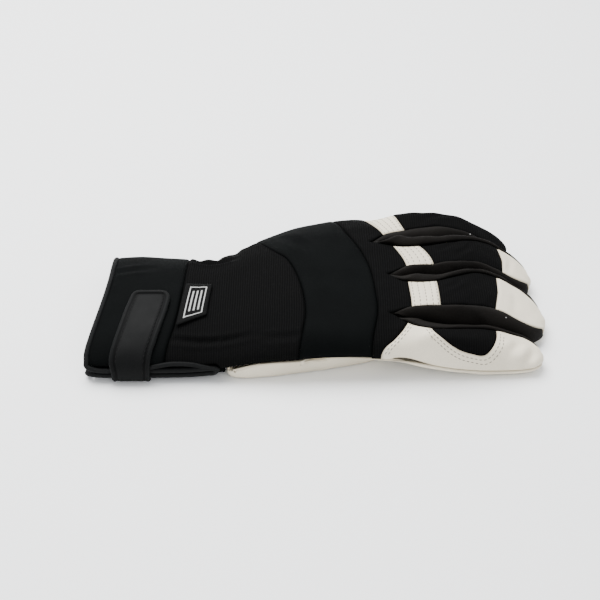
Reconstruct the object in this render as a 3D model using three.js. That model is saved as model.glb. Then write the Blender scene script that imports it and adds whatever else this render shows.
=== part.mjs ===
// Mechanic glove for the left hand, lying back of the hand up.
// X runs from the cuff to the fingertips, Y from the index side to the little finger side, Z up, in mm.
import * as THREE from 'three';

// Driving sizes
const LENGTH = 233;           // cuff edge to the tip of the middle finger
const SPREAD = 112;           // index side to little finger side, laid flat
const LOFT = 32;              // height at the knuckles
const SEAM = 0.4;             // gap left between two panels at a seam
const CUFF_WALL = 2;
const KNIT_WALL = 1.4;
const LEATHER_WALL = 1.3;
const SIDE_WALL = 1.1;
const BINDING_RADIUS = 1.1;
const STRAP_WALL = 1.8;
const LABEL_WALL = 0.8;
const ROUNDNESS = 2.35;       // power of the rounded section of hand and fingers
const TIP_ROUNDING = 13;      // length of a fingertip that rounds off
const STRIP_END = 0.62;       // share of a fingertip's width where the side strips end
const THUMB_LOFT = 10;        // height of the thumb where it lies under the palm

// Tables hold shares of the size that each column follows: LENGTH along, SPREAD across, LOFT up.
const FOLLOWS = {
  at: LENGTH, along: LENGTH, near: SPREAD, far: SPREAD, nearSide: SPREAD, farSide: SPREAD, across: SPREAD,
  left: LENGTH, right: LENGTH,
};
function table(names, rows) {
  const columns = names.split(' ');
  return { columns, rows: rows.map((row) => row.map((v, i) => v * (FOLLOWS[columns[i]] ?? LOFT))) };
}

// the hand, a row per section: edges, crown, edge heights, underside heights
const HAND = table('at near far crown nearEdge farEdge nearUnder farUnder', [
  [0.0, -0.3527, 0.4107, 0.6094, 0.1688, 0.25, 0.0, 0.0],
  [0.0858, -0.3571, 0.4107, 0.6875, 0.1688, 0.25, 0.0, 0.0],
  [0.1888, -0.3527, 0.3884, 0.7188, 0.1688, 0.25, 0.0, 0.0],
  [0.2489, -0.3482, 0.3795, 0.7031, 0.1812, 0.25, 0.0, 0.0],
  [0.3004, -0.3518, 0.4286, 0.7344, 0.2625, 0.25, 0.1719, 0.0],
  [0.3605, -0.3509, 0.5179, 0.8125, 0.3563, 0.2656, 0.3312, 0.0],
  [0.4506, -0.3482, 0.5982, 0.9313, 0.4188, 0.2812, 0.3625, 0.0],
  [0.5494, -0.3429, 0.6429, 1.0, 0.4437, 0.2969, 0.3625, 0.0],
  [0.6223, -0.3393, 0.6393, 0.9875, 0.425, 0.3125, 0.3187, 0.0],
  [0.7511, -0.3348, 0.6607, 0.9062, 0.3438, 0.3125, 0.1875, 0.0],
]);
// index finger, a row per section: top seams, side bulges, heights
const INDEX = table('at near far nearSide farSide crown seam mid fold under', [
  [0.6094, -0.3402, -0.167, -0.3402, -0.167, 0.9531, 0.9219, 0.4313, 0.3281, 0.3125],
  [0.6438, -0.3384, -0.167, -0.3384, -0.167, 0.9219, 0.8906, 0.4188, 0.3063, 0.275],
  [0.691, -0.3348, -0.2232, -0.3348, -0.1643, 0.8625, 0.8125, 0.35, 0.2687, 0.2],
  [0.7382, -0.3348, -0.2357, -0.3348, -0.1562, 0.8, 0.75, 0.275, 0.2188, 0.125],
  [0.7854, -0.3348, -0.2125, -0.3348, -0.1482, 0.7312, 0.6813, 0.2062, 0.1812, 0.0625],
  [0.8369, -0.333, -0.1839, -0.333, -0.1393, 0.6375, 0.5938, 0.1625, 0.1437, 0.0156],
  [0.8841, -0.3304, -0.1679, -0.3304, -0.1339, 0.5312, 0.4875, 0.15, 0.1125, 0.0],
  [0.927, -0.325, -0.1661, -0.325, -0.1375, 0.4062, 0.3688, 0.15, 0.0938, 0.0],
  [0.9785, -0.3179, -0.1732, -0.3179, -0.1518, 0.3, 0.275, 0.1562, 0.075, 0.0],
]);
// middle finger
const MIDDLE = table('at near far nearSide farSide crown seam mid fold under', [
  [0.6094, -0.167, 0.0759, -0.167, 0.0759, 0.9938, 0.9688, 0.6562, 0.3281, 0.3125],
  [0.6438, -0.167, 0.0759, -0.167, 0.0759, 0.9812, 0.9563, 0.625, 0.3125, 0.2938],
  [0.6781, -0.1393, 0.0348, -0.1661, 0.083, 0.9688, 0.925, 0.5781, 0.2938, 0.2625],
  [0.7425, -0.1179, 0.0518, -0.1482, 0.1205, 0.9187, 0.875, 0.5156, 0.25, 0.1875],
  [0.7897, -0.1018, 0.1, -0.1393, 0.15, 0.875, 0.8313, 0.4562, 0.2062, 0.1187],
  [0.8412, -0.075, 0.1643, -0.1304, 0.1964, 0.7812, 0.7375, 0.3875, 0.1688, 0.05],
  [0.8884, -0.0661, 0.1804, -0.125, 0.2054, 0.65, 0.6125, 0.3063, 0.1375, 0.0063],
  [0.9313, -0.0804, 0.1696, -0.1304, 0.1929, 0.4813, 0.4437, 0.2313, 0.1062, 0.0],
  [0.9914, -0.1071, 0.1071, -0.1375, 0.1304, 0.3, 0.275, 0.1562, 0.075, 0.0],
]);
// ring finger
const RING = table('at near far nearSide farSide crown seam mid fold under', [
  [0.6094, 0.0759, 0.3161, 0.0759, 0.3161, 0.9969, 0.9688, 0.6406, 0.1875, 0.1562],
  [0.6438, 0.0759, 0.3, 0.0759, 0.3179, 0.9875, 0.9563, 0.6094, 0.1812, 0.1437],
  [0.6781, 0.1232, 0.2893, 0.0902, 0.3357, 0.9688, 0.9313, 0.5625, 0.175, 0.125],
  [0.7339, 0.1607, 0.3143, 0.1268, 0.3786, 0.9313, 0.8875, 0.5062, 0.1625, 0.0938],
  [0.7897, 0.2018, 0.3554, 0.1589, 0.4196, 0.8875, 0.8438, 0.4437, 0.15, 0.0563],
  [0.8455, 0.2375, 0.4054, 0.2054, 0.4518, 0.7875, 0.75, 0.3688, 0.1375, 0.0187],
  [0.8884, 0.2464, 0.4232, 0.2143, 0.4536, 0.6562, 0.6188, 0.2938, 0.125, 0.0],
  [0.927, 0.2393, 0.4179, 0.2054, 0.4393, 0.4875, 0.4562, 0.225, 0.1, 0.0],
  [0.9828, 0.2143, 0.375, 0.1821, 0.3982, 0.3125, 0.2875, 0.1562, 0.075, 0.0],
]);
// little finger
const LITTLE = table('at near far nearSide farSide crown seam mid fold under', [
  [0.5751, 0.3161, 0.6393, 0.3161, 0.6393, 0.975, 0.9563, 0.375, 0.1437, 0.0469],
  [0.6094, 0.3161, 0.6393, 0.3161, 0.6393, 0.9625, 0.95, 0.375, 0.1437, 0.0437],
  [0.6438, 0.3893, 0.6357, 0.3268, 0.6357, 0.9375, 0.9187, 0.375, 0.1437, 0.0375],
  [0.6867, 0.4339, 0.6375, 0.3518, 0.6375, 0.9, 0.8812, 0.375, 0.1437, 0.0312],
  [0.7296, 0.4732, 0.6446, 0.3857, 0.6446, 0.8625, 0.8438, 0.3688, 0.1406, 0.0187],
  [0.7768, 0.4982, 0.65, 0.4196, 0.65, 0.8187, 0.8, 0.35, 0.1375, 0.0094],
  [0.824, 0.4982, 0.6464, 0.4518, 0.6464, 0.7375, 0.7188, 0.3125, 0.1313, 0.0],
  [0.8627, 0.4911, 0.6375, 0.4589, 0.6375, 0.6125, 0.5938, 0.2687, 0.1187, 0.0],
  [0.897, 0.4804, 0.625, 0.4518, 0.625, 0.475, 0.4562, 0.225, 0.1, 0.0],
  [0.9399, 0.4696, 0.6107, 0.4411, 0.6107, 0.3312, 0.3063, 0.1688, 0.075, 0.0],
]);
// seams across the hand: place across, place along
const CUFF_EDGE = table('across along', [
  [-0.3571, 0.0026],
  [-0.3036, 0.0],
  [-0.25, 0.0043],
  [-0.1339, 0.0146],
  [0.1071, 0.0296],
  [0.3929, 0.0318],
  [0.7143, 0.0318],
]);
const CUFF_SEAM = table('across along', [
  [-0.3571, 0.1631],
  [-0.2768, 0.1717],
  [-0.1875, 0.1828],
  [-0.0411, 0.1914],
  [0.1786, 0.1966],
  [0.375, 0.1991],
  [0.7143, 0.2],
]);
const PALM_SEAM = table('across along', [
  [-0.375, 0.2961],
  [-0.3036, 0.2893],
  [-0.1786, 0.2661],
  [0.0, 0.2369],
  [0.1786, 0.2129],
  [0.3214, 0.2026],
  [0.4464, 0.2],
  [0.7143, 0.2],
]);
const BAND_LEFT = table('across along', [
  [-0.3571, 0.4489],
  [-0.25, 0.4584],
  [-0.1696, 0.4635],
  [-0.0625, 0.4601],
  [0.0804, 0.4459],
  [0.2143, 0.4223],
  [0.2946, 0.394],
  [0.4107, 0.3605],
  [0.5357, 0.3322],
  [0.7143, 0.3004],
]);
const BAND_RIGHT = table('across along', [
  [-0.3571, 0.6034],
  [-0.2857, 0.6086],
  [-0.1696, 0.6189],
  [-0.0536, 0.6163],
  [0.1071, 0.6069],
  [0.2321, 0.5897],
  [0.4196, 0.5536],
  [0.5536, 0.533],
  [0.7143, 0.5133],
]);
// the line through the three points where the fingers part
const SPLIT = table('across along', [
  [-0.3571, 0.6112],
  [-0.167, 0.6438],
  [0.0759, 0.6438],
  [0.3161, 0.6094],
  [0.5357, 0.5768],
  [0.7143, 0.5554],
]);
const PATCH_LEFT = table('across along', [
  [-0.3571, 0.6163],
  [-0.325, 0.6309],
  [-0.2902, 0.6541],
  [-0.2455, 0.6738],
  [-0.1786, 0.6893],
  [-0.1339, 0.6927],
  [0.0268, 0.6893],
  [0.1339, 0.6901],
  [0.2679, 0.6678],
  [0.3973, 0.6403],
  [0.5357, 0.6112],
  [0.7143, 0.5854],
]);
const PATCH_RIGHT = table('across along', [
  [-0.3571, 0.7554],
  [-0.1161, 0.7554],
  [0.0446, 0.7528],
  [0.1741, 0.7511],
  [0.2946, 0.7262],
  [0.4464, 0.6918],
  [0.5357, 0.6764],
  [0.7143, 0.6541],
]);
const ZONES = {
  index: { rows: INDEX, tip: 0.9785 * LENGTH, nearPart: 0, farPart: 0.644 * LENGTH, outer: 'near' },
  middle: {
    rows: MIDDLE, tip: 0.9983 * LENGTH, nearPart: 0.644 * LENGTH, farPart: 0.644 * LENGTH, outer: '',
  },
  ring: {
    rows: RING, tip: 0.9845 * LENGTH, nearPart: 0.644 * LENGTH, farPart: 0.6096 * LENGTH, outer: '',
  },
  little: { rows: LITTLE, tip: 0.9425 * LENGTH, nearPart: 0.6096 * LENGTH, farPart: 0, outer: 'far' },
};
const SLIT_END = 0.283 * LENGTH;
const SLIT_HALF = 0.112 * LOFT;
const THUMB_MOUTH = 0.382 * LENGTH;
const THUMB_MOUTH_HALF = 0.072 * LENGTH;
const THUMB_MOUTH_DEPTH = 0.18 * SPREAD;

// Numbers along and across
const lerp = (a, b, t) => a + (b - a) * t;
const clamp = (v, low, high) => Math.min(Math.max(v, low), high);
const smooth = (t) => { const u = clamp(t, 0, 1); return u * u * (3 - 2 * u); };
const spread = (low, high, n) => Array.from({ length: n + 1 }, (_, i) => lerp(low, high, i / n));

// A smooth curve through the rows of a table, read at a place in its first column
function read(tab, at) {
  const { columns, rows } = tab;
  const last = rows.length - 1;
  const x = clamp(at, rows[0][0], rows[last][0]);
  let k = 0;
  while (k < last - 1 && rows[k + 1][0] < x) k += 1;
  const b = rows[k];
  const c = rows[k + 1];
  const a = k > 0 ? rows[k - 1] : b.map((v, i) => 2 * v - c[i]);
  const d = k + 2 <= last ? rows[k + 2] : c.map((v, i) => 2 * v - b[i]);
  const step = c[0] - b[0];
  const t = (x - b[0]) / step;
  const out = {};
  columns.forEach((name, i) => {
    const m1 = (c[i] - a[i]) / (c[0] - a[0]) * step;
    const m2 = (d[i] - b[i]) / (d[0] - b[0]) * step;
    out[name] = (2 * t ** 3 - 3 * t * t + 1) * b[i] + (t ** 3 - 2 * t * t + t) * m1
      + (3 * t * t - 2 * t ** 3) * c[i] + (t ** 3 - t * t) * m2;
  });
  return out;
}
const seamAt = (tab, y) => read(tab, y).along;

// Height of the hand's back and underside at a place
function handBack(x, y, grow = 0) {
  const h = read(HAND, x);
  const near = h.near - grow;
  const far = h.far + grow;
  const across = clamp((y - (near + far) / 2) / ((far - near) / 2), -1, 1);
  const edge = lerp(h.nearEdge, h.farEdge, (across + 1) / 2);
  return edge + (h.crown + grow - edge) * (1 - Math.abs(across) ** ROUNDNESS) ** (1 / ROUNDNESS);
}
function handUnder(x, y, grow = 0) {
  const h = read(HAND, x);
  const near = h.near - grow;
  const far = h.far + grow;
  const across = clamp((y - (near + far) / 2) / ((far - near) / 2), -1, 1);
  const edge = lerp(h.nearEdge, h.farEdge, (across + 1) / 2);
  const under = lerp(h.farUnder, h.nearUnder, smooth((0.55 - across) / 0.75)) - grow;
  return edge - (edge - under) * (1 - across ** 4) ** (1 / 3);
}

// A soft underside lies flat on the floor where it comes close to it
const REST = 0.025 * LOFT;
const rest = (z) => (z < 2 * REST ? Math.max(0, 2 * (z - REST)) : z);

// A finger's section at a place: its edges, with the rounding of the tip taken in
function section(zone, x) {
  const { rows, tip, nearPart, farPart } = ZONES[zone];
  const r = read(rows, x);
  const h = read(HAND, x);
  const first = read(rows, 0);
  if (nearPart && x <= nearPart) r.near = first.near;
  if (farPart && x <= farPart) r.far = first.far;
  if (!nearPart && x < rows.rows[1][0]) r.near = h.near;
  if (!farPart && x < rows.rows[1][0]) r.far = h.far;
  const past = clamp((x - tip + TIP_ROUNDING) / TIP_ROUNDING, 0, 1);
  const left = (1 - past ** 2.3) ** (1 / 2.3);
  const centre = (r.near + r.far) / 2;
  for (const key of ['near', 'far', 'nearSide', 'farSide']) r[key] = centre + (r[key] - centre) * left;
  for (const key of ['crown', 'seam', 'fold', 'under']) r[key] = r.mid + (r[key] - r.mid) * left;
  r.left = left;
  return r;
}

// Place across a zone: q runs 0 to 2 from near edge to far edge, slower at a rounded outer edge
function across(zone, r, q) {
  const centre = (r.near + r.far) / 2;
  const half = (r.far - r.near) / 2;
  const side = q < 1 ? 'near' : 'far';
  const p = q < 1 ? q : 2 - q;
  const rounded = ZONES[zone].outer === side;
  const out = rounded ? Math.cos(p * Math.PI / 2) ** (2 / ROUNDNESS) : 1 - p;
  return { y: centre + (q < 1 ? -1 : 1) * half * out, out, rounded };
}
function rise(out, rounded, power = 2) {
  return rounded ? 1 - (1 - out ** ROUNDNESS) ** (1 / ROUNDNESS) : out ** power;
}

// The slit on the near side: half its height at a place
function slitHalf(x) {
  const past = clamp((x - SLIT_END + SLIT_HALF) / SLIT_HALF, 0, 1);
  return Math.max(SLIT_HALF * Math.sqrt(1 - past * past), SEAM / 2);
}
// How far out, of 1, the back or the underside reaches where it stops short of the edge's height by open
const backReach = (rise, open) => (1 - clamp(open / rise, 0, 0.9) ** ROUNDNESS) ** (1 / ROUNDNESS);
const underReach = (drop, open) => (1 - clamp(open / drop, 0, 0.9) ** 3) ** 0.25;
// The bay in the palm's near side where the thumb opens: its depth at a place
function bay(x, grow = 0) {
  const u = clamp((x - THUMB_MOUTH) / (THUMB_MOUTH_HALF + grow), -1, 1);
  return (THUMB_MOUTH_DEPTH + grow) * Math.sqrt(1 - u * u);
}
// Where the palm's rim lies across the hand, bay and all
function palmRim(x, h) {
  const half = (h.far - h.near) / 2;
  const reach = half * underReach(h.nearEdge - h.nearUnder, slitHalf(x) + 2.5 * SEAM);
  return h.far - (half + reach) * (1 - bay(x, 3 * SEAM) / (2 * half));
}
// The back of the glove in a zone: the hand's own curve up to the knuckles, then each finger's arch
function backPoint(zone, x, q, trim = 0) {
  const r = section(zone, x);
  const z = ZONES[zone];
  const inward = Math.min(trim, (r.far - r.near) / 2);
  if (z.outer !== 'near' && x > z.nearPart) r.near += inward;
  if (z.outer !== 'far' && x > z.farPart) r.far -= inward;
  const { y, out, rounded } = across(zone, r, q);
  const low = lerp(r.seam, r.mid, rounded ? 1 : smooth((STRIP_END - r.left) / 0.12));
  const arch = r.crown - (r.crown - low) * rise(out, rounded, 2.2);
  const part = lerp(z.nearPart || z.farPart, z.farPart || z.nearPart, q / 2);
  const share = smooth((x - part) / (0.1 * LENGTH));
  const hand = share < 1 ? handBack(x, y) : arch;
  return [x, y, lerp(hand, arch, share)];
}
function underPoint(zone, x, q) {
  const r = section(zone, x);
  const h = read(HAND, x);
  const z = ZONES[zone];
  const part = lerp(z.nearPart || z.farPart, z.farPart || z.nearPart, q / 2);
  const share = smooth((x - part) / (0.06 * LENGTH));
  const half = (h.far - h.near) / 2;
  const centre = (h.near + h.far) / 2;
  const reach = {
    near: centre - half * underReach(h.nearEdge - h.nearUnder, slitHalf(x) + 2.5 * SEAM),
    far: centre + half * underReach(h.farEdge - h.farUnder, SEAM),
  };
  for (const side of ['near', 'far']) {
    const inward = side === 'near' ? 1 : -1;
    if (z.outer === side && share < 1) r[side] = lerp(reach[side], r[side], share);
    if (z.outer !== side && x > z[`${side}Part`]) {
      r[side] = lerp(r[side], r[`${side}Side`], 0.45) + inward * SEAM * 0.6;
    }
  }
  const { y, out, rounded } = across(zone, r, q);
  const closed = rounded ? 1 : smooth((STRIP_END - r.left) / 0.12);
  const low = lerp(Math.min(r.fold, r.mid - 3 * SEAM), r.mid - 3 * SEAM, closed);
  const bowl = r.under + (low - r.under) * (rounded ? rise(out, true) : out ** 4);
  if (share === 1) return [x, y, rest(bowl)];
  const inset = bay(x, 3 * SEAM);
  const shifted = h.far - (h.far - y) * (h.far - h.near - inset) / (h.far - h.near);
  const drop = slitHalf(x) + 2.5 * SEAM + LEATHER_WALL * smooth(inset / LEATHER_WALL);
  const rim = Math.min(handUnder(x, shifted), h.nearEdge - drop);
  const hand = shifted > centre ? handUnder(x, shifted) : rim;
  return [x, shifted, rest(lerp(hand, bowl, share))];
}

// Which way a triangle faces, as long as twice its area
function facing([a, b, c]) {
  const e = new THREE.Vector3(b[0] - a[0], b[1] - a[1], b[2] - a[2]);
  return e.cross(new THREE.Vector3(c[0] - a[0], c[1] - a[1], c[2] - a[2]));
}

// An open sheet of triangles with shared corners, and the closed wall made from it
class Sheet {
  constructor() { this.points = []; this.known = new Map(); this.faces = []; }
  corner(p) {
    const key = p.map((v) => Math.round(v * 500)).join();
    if (!this.known.has(key)) {
      this.known.set(key, this.points.length);
      this.points.push(p);
    }
    return this.known.get(key);
  }
  face(a, b, c) { if (a !== b && b !== c && a !== c) this.faces.push([a, b, c]); }
  grid(us, vs, at) {
    const corners = us.map((u) => vs.map((v) => this.corner(at(u, v))));
    for (let i = 0; i < us.length - 1; i += 1) {
      for (let j = 0; j < vs.length - 1; j += 1) {
        const [a, b, c, d] = [corners[i][j], corners[i + 1][j], corners[i + 1][j + 1], corners[i][j + 1]];
        this.face(a, b, c);
        this.face(a, c, d);
      }
    }
    return this;
  }
  normals() {
    const sums = this.points.map(() => new THREE.Vector3());
    for (const tri of this.faces) {
      const n = facing(tri.map((i) => this.points[i]));
      tri.forEach((i) => sums[i].add(n));
    }
    return sums.map((n) => n.normalize().toArray());
  }
  // The wall's inner face. The wall is thinner where a bend is too tight for all of it
  inner(wall) {
    const normals = this.normals();
    const depths = this.points.map(() => wall);
    const at = (i) => this.points[i].map((v, k) => v - depths[i] * normals[i][k]);
    const turned = (tri) => facing(tri.map(at)).dot(facing(tri.map((i) => this.points[i]))) < 0;
    for (let pass = 0; pass < 6; pass += 1) {
      new Set(this.faces.filter(turned).flat()).forEach((i) => { depths[i] *= 0.8; });
    }
    return this.points.map((p, i) => at(i));
  }
  geometry(wall) {
    const outer = this.points;
    const all = wall ? outer.concat(this.inner(wall)) : outer;
    const tris = this.faces.slice();
    if (wall) {
      const n = outer.length;
      const edges = new Set();
      for (const [a, b, c] of this.faces) {
        tris.push([c + n, b + n, a + n]);
        for (const [p, q] of [[a, b], [b, c], [c, a]]) edges.add(`${p} ${q}`);
      }
      for (const edge of edges) {
        const [p, q] = edge.split(' ').map(Number);
        if (!edges.has(`${q} ${p}`)) tris.push([q, p, p + n], [q, p + n, q + n]);
      }
    }
    const geometry = new THREE.BufferGeometry();
    geometry.setAttribute('position', new THREE.Float32BufferAttribute(all.flat(), 3));
    geometry.setIndex(tris.flat());
    geometry.computeVertexNormals();
    return geometry;
  }
}

const group = new THREE.Group();
group.name = 'mechanic_glove';
const LOOKS = {
  neoprene: new THREE.MeshStandardMaterial({ color: 0x14171a, roughness: 0.75, metalness: 0 }),
  knit: new THREE.MeshStandardMaterial({ color: 0x131313, roughness: 0.95, metalness: 0 }),
  stretch: new THREE.MeshStandardMaterial({ color: 0x1c1a17, roughness: 0.7, metalness: 0 }),
  leather: new THREE.MeshStandardMaterial({ color: 0xdad7cf, roughness: 0.7, metalness: 0 }),
  strap: new THREE.MeshStandardMaterial({ color: 0x2e2f2f, roughness: 0.6, metalness: 0 }),
};
function add(name, geometry, look) {
  const mesh = new THREE.Mesh(geometry, LOOKS[look].clone());
  mesh.name = name;
  mesh.material.name = look;
  group.add(mesh);
}

// Points round the hand's section: p 0 to 1 over the back from near to far, 1 to 2 under from far to near
function handRing(x, p, grow = 0, open = slitHalf(x)) {
  const h = read(HAND, x);
  const half = (h.far - h.near) / 2 + grow;
  const centre = (h.near + h.far) / 2;
  const start = Math.acos(backReach(h.crown - h.nearEdge, open + 1.5 * SEAM) ** (ROUNDNESS / 2));
  const end = Math.acos(-(underReach(h.nearEdge - h.nearUnder, open + 2.8 * SEAM) ** 2));
  const c = p <= 1 ? -Math.cos(lerp(start, Math.PI, p)) : Math.cos(lerp(0, end, p - 1));
  const y = centre + half * Math.sign(c) * Math.abs(c) ** (p <= 1 ? 2 / ROUNDNESS : 0.5);
  return [x, y, p <= 1 ? handBack(x, y, grow) : rest(handUnder(x, y, grow))];
}

// A panel between two seams, following the ring of the hand's section
function ringPanel(leftOf, rightOf, rows, places) {
  return new Sheet().grid(rows, places, (t, p) => {
    let x = lerp(0, 0.3 * LENGTH, t);
    for (let k = 0; k < 4; k += 1) {
      const y = handRing(x, p)[1];
      x = lerp(leftOf(y, p), rightOf(y, p), t);
    }
    return handRing(x, p);
  });
}
const edgeOf = (seam, trim = 0) => (y) => seamAt(seam, y) + trim;

// Cuff: over the back and under, open at the slit
const backPlaces = [0, 0.03, 0.08, 0.15, 0.24, 0.35, 0.46, 0.57, 0.68, 0.78, 0.86, 0.93, 0.97, 1];
const underPlaces = [1.03, 1.08, 1.16, 1.27, 1.38, 1.49, 1.6, 1.7, 1.79, 1.87, 1.93, 1.98, 2];
const cuffRows = [0, 0.2, 0.4, 0.6, 0.78, 0.87, 0.91, 0.935, 0.955, 1];
const cuffEnd = (y, p) => seamAt(p > 1 ? PALM_SEAM : CUFF_SEAM, y) - SEAM / 2;
const cuff = ringPanel(edgeOf(CUFF_EDGE), cuffEnd, cuffRows, backPlaces.concat(underPlaces));
add('cuff', cuff.geometry(CUFF_WALL), 'neoprene');

// Wrist and back of the hand, then the padded band over the knuckles
const wristRows = [0, 0.17, 0.3, 0.35, 0.38, 0.4, 0.42, 0.56, 0.78, 1];
const wrist = ringPanel(edgeOf(CUFF_SEAM, SEAM / 2), edgeOf(BAND_LEFT, -SEAM / 2), wristRows, backPlaces);
add('wrist_back', wrist.geometry(KNIT_WALL), 'knit');
const band = ringPanel(edgeOf(BAND_LEFT, SEAM / 2), edgeOf(BAND_RIGHT, -SEAM / 2), spread(0, 1, 5), backPlaces);
add('knuckle_band', band.geometry(KNIT_WALL), 'neoprene');

// Knuckle knit: whole up to the points where the fingers part, then a lobe on each finger
const flipped = (places) => places.map((q) => 2 - q).reverse();
const lobes = { index: [0, 0.03, 0.12, 0.3, 0.6, 1, 1.5, 2], middle: [0, 0.4, 0.8, 1.2, 1.6, 2] };
lobes.ring = lobes.middle;
lobes.little = flipped(lobes.index);
const trimmed = (zone, x, q) => backPoint(zone, x, q, SEAM / 2);
function zoneGrid(sheet, zone, places, ts, leftOf, rightOf, point = trimmed) {
  return sheet.grid(ts, places, (t, q) => {
    let x = 0.66 * LENGTH;
    for (let k = 0; k < 4; k += 1) {
      const { y } = across(zone, section(zone, x), q);
      x = lerp(leftOf(y, q), rightOf(y, q), t);
    }
    return point(zone, x, q);
  });
}
const knit = new Sheet();
for (const zone of Object.keys(ZONES)) {
  zoneGrid(knit, zone, lobes[zone], spread(0, 1, 2), edgeOf(BAND_RIGHT, SEAM / 2), edgeOf(SPLIT));
  zoneGrid(knit, zone, lobes[zone], spread(0, 1, 2), edgeOf(SPLIT), edgeOf(PATCH_LEFT, -SEAM / 2));
}
add('knuckle_knit', knit.geometry(KNIT_WALL), 'knit');

// White patches on three knuckles and the knit backs beyond them
const capSeam = { middle: [0.8798, 0.8914, 0.8948], ring: [0.9137, 0.9171, 0.9103] };
const capAt = (zone, q) => {
  const [a, b, c] = capSeam[zone].map((v) => v * LENGTH);
  return q < 1 ? lerp(a, b, q) : lerp(b, c, q - 1);
};
const fingerPanel = (zone, ts, from, to) => zoneGrid(new Sheet(), zone, lobes[zone], ts, from, to);
const patchStart = edgeOf(PATCH_LEFT, SEAM / 2);
const patchEnd = edgeOf(PATCH_RIGHT, -SEAM / 2);
const backStart = edgeOf(PATCH_RIGHT, SEAM / 2);
for (const zone of ['middle', 'ring', 'little']) {
  const patch = fingerPanel(zone, spread(0, 1, 2), patchStart, patchEnd);
  add(`knuckle_patch_${zone}`, patch.geometry(LEATHER_WALL), 'leather');
}
for (const zone of ['middle', 'ring']) {
  const back = fingerPanel(zone, spread(0, 1, 4), backStart, (y, q) => capAt(zone, q) - SEAM / 2);
  add(`finger_back_${zone}`, back.geometry(KNIT_WALL), 'knit');
}
// Rows of a fingertip, close together where it rounds off
const tipRows = [0, 0.35, 0.6, 0.78, 0.9, 0.96, 0.99, 1];
for (const zone of ['middle', 'ring']) {
  const cap = fingerPanel(zone, tipRows, (y, q) => capAt(zone, q) + SEAM / 2, () => ZONES[zone].tip);
  add(`fingertip_${zone}`, cap.geometry(LEATHER_WALL), 'leather');
}
const littleRows = [0, 0.2, 0.4, 0.6, 0.75, 0.86, 0.94, 0.98, 1];
const littleBack = fingerPanel('little', littleRows, backStart, () => ZONES.little.tip);
add('finger_back_little', littleBack.geometry(KNIT_WALL), 'knit');

// Index finger: the knit oval and the white wrap round it
const OVAL = { centre: 0.8045 * LENGTH, half: 0.0715 * LENGTH, low: -0.3268 * SPREAD, lean: 0.2 };
function ovalEdge(x, shift) {
  const r = section('index', x);
  const half = OVAL.half + shift;
  const u = clamp((x - OVAL.centre) / half, -1, 1);
  const lean = (u - OVAL.lean) / (u < OVAL.lean ? 1 + OVAL.lean : 1 - OVAL.lean);
  const edge = r.far - (r.far - OVAL.low) * Math.sqrt(1 - Math.abs(lean) ** 2.4);
  const centre = (r.near + r.far) / 2;
  const out = clamp((centre - edge) / ((r.far - r.near) / 2), -1, 1);
  const q = out > 0 ? Math.acos(out ** (ROUNDNESS / 2)) * 2 / Math.PI : 1 - out;
  return Math.min(q - shift / (0.14 * SPREAD), 2);
}
const ovalRows = [-1, -0.97, -0.88, -0.7, -0.4, 0, 0.4, 0.7, 0.88, 0.97, 1];
const oval = new Sheet();
oval.grid(ovalRows, spread(0, 1, 5), (u, v) => {
  const x = OVAL.centre + u * (OVAL.half - SEAM);
  return trimmed('index', x, lerp(ovalEdge(x, -SEAM), 2, v));
});
add('finger_back_index', oval.geometry(KNIT_WALL), 'knit');
const wrap = new Sheet();
const wrapRows = [0, 0.5].concat(ovalRows.map((u) => 2 + u), tipRows.slice(1).map((t) => 3 + t));
wrap.grid(wrapRows, [0, 0.12, 0.26, 0.45, 0.7, 1], (t, v) => {
  const from = OVAL.centre - OVAL.half - SEAM;
  const to = OVAL.centre + OVAL.half + SEAM;
  let x = t < 1 ? from : OVAL.centre + (t - 2) * (OVAL.half + SEAM);
  if (t > 3) x = lerp(to, ZONES.index.tip, t - 3);
  const q = t >= 1 && t <= 3 ? ovalEdge(x, SEAM) * v : 2 * v;
  if (t < 1) {
    for (let k = 0; k < 4; k += 1) {
      x = lerp(patchStart(across('index', section('index', x), q).y), from, t);
    }
  }
  return trimmed('index', x, q);
});
add('index_wrap', wrap.geometry(LEATHER_WALL), 'leather');

// Side strips between the fingers: each runs down one finger, round the crotch and up the next
function stripPoint(zone, side, t, p) {
  const part = ZONES[zone][`${side}Part`];
  const end = ZONES[zone].tip - 0.19 * TIP_ROUNDING;
  const x = lerp(part + 2 * SEAM, end, t);
  const xm = lerp(part + 0.05 * LENGTH, end + 0.04 * TIP_ROUNDING, t);
  const mid = section(zone, xm);
  const outward = side === 'far' ? 1 : -1;
  const q = side === 'far' ? 2 : 0;
  const top = backPoint(zone, x, q, SEAM / 2);
  const fold = underPoint(zone, x, q);
  const open = smooth(t * 25);
  const yTop = top[1] + outward * 1.8 * SEAM * open;
  const yFold = fold[1] + outward * 2 * SEAM * open;
  const zTop = top[2] - 1.5 * SEAM;
  const zFold = fold[2] + 3 * SEAM;
  const yMid = mid[`${side}Side`] - outward * SEAM * open;
  const a = p * Math.PI;
  const [c, s] = [Math.cos(a), Math.sin(a)];
  const centreY = (yTop + yFold) / 2;
  const centreZ = (zTop + zFold) / 2;
  const puff = p < 0.5 ? 0.16 * (zTop - zFold) * smooth(t * 8) * Math.sin(2 * a) : 0;
  const y = centreY + (yTop - yFold) / 2 * c + (yMid - centreY) * s;
  return [lerp(x, xm, s), y, centreZ + (zTop - zFold) / 2 * c + (mid.mid - centreZ) * s + puff];
}
const stripRows = [0, 0.015, 0.05, 0.12, 0.22, 0.36, 0.5, 0.64, 0.76, 0.86, 0.93, 0.97, 1];
const stripPlaces = [0.03, 0.14, 0.27, 0.42, 0.58, 0.78, 0.96];
const gaps = [['index', 'middle'], ['middle', 'ring'], ['ring', 'little']];
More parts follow.
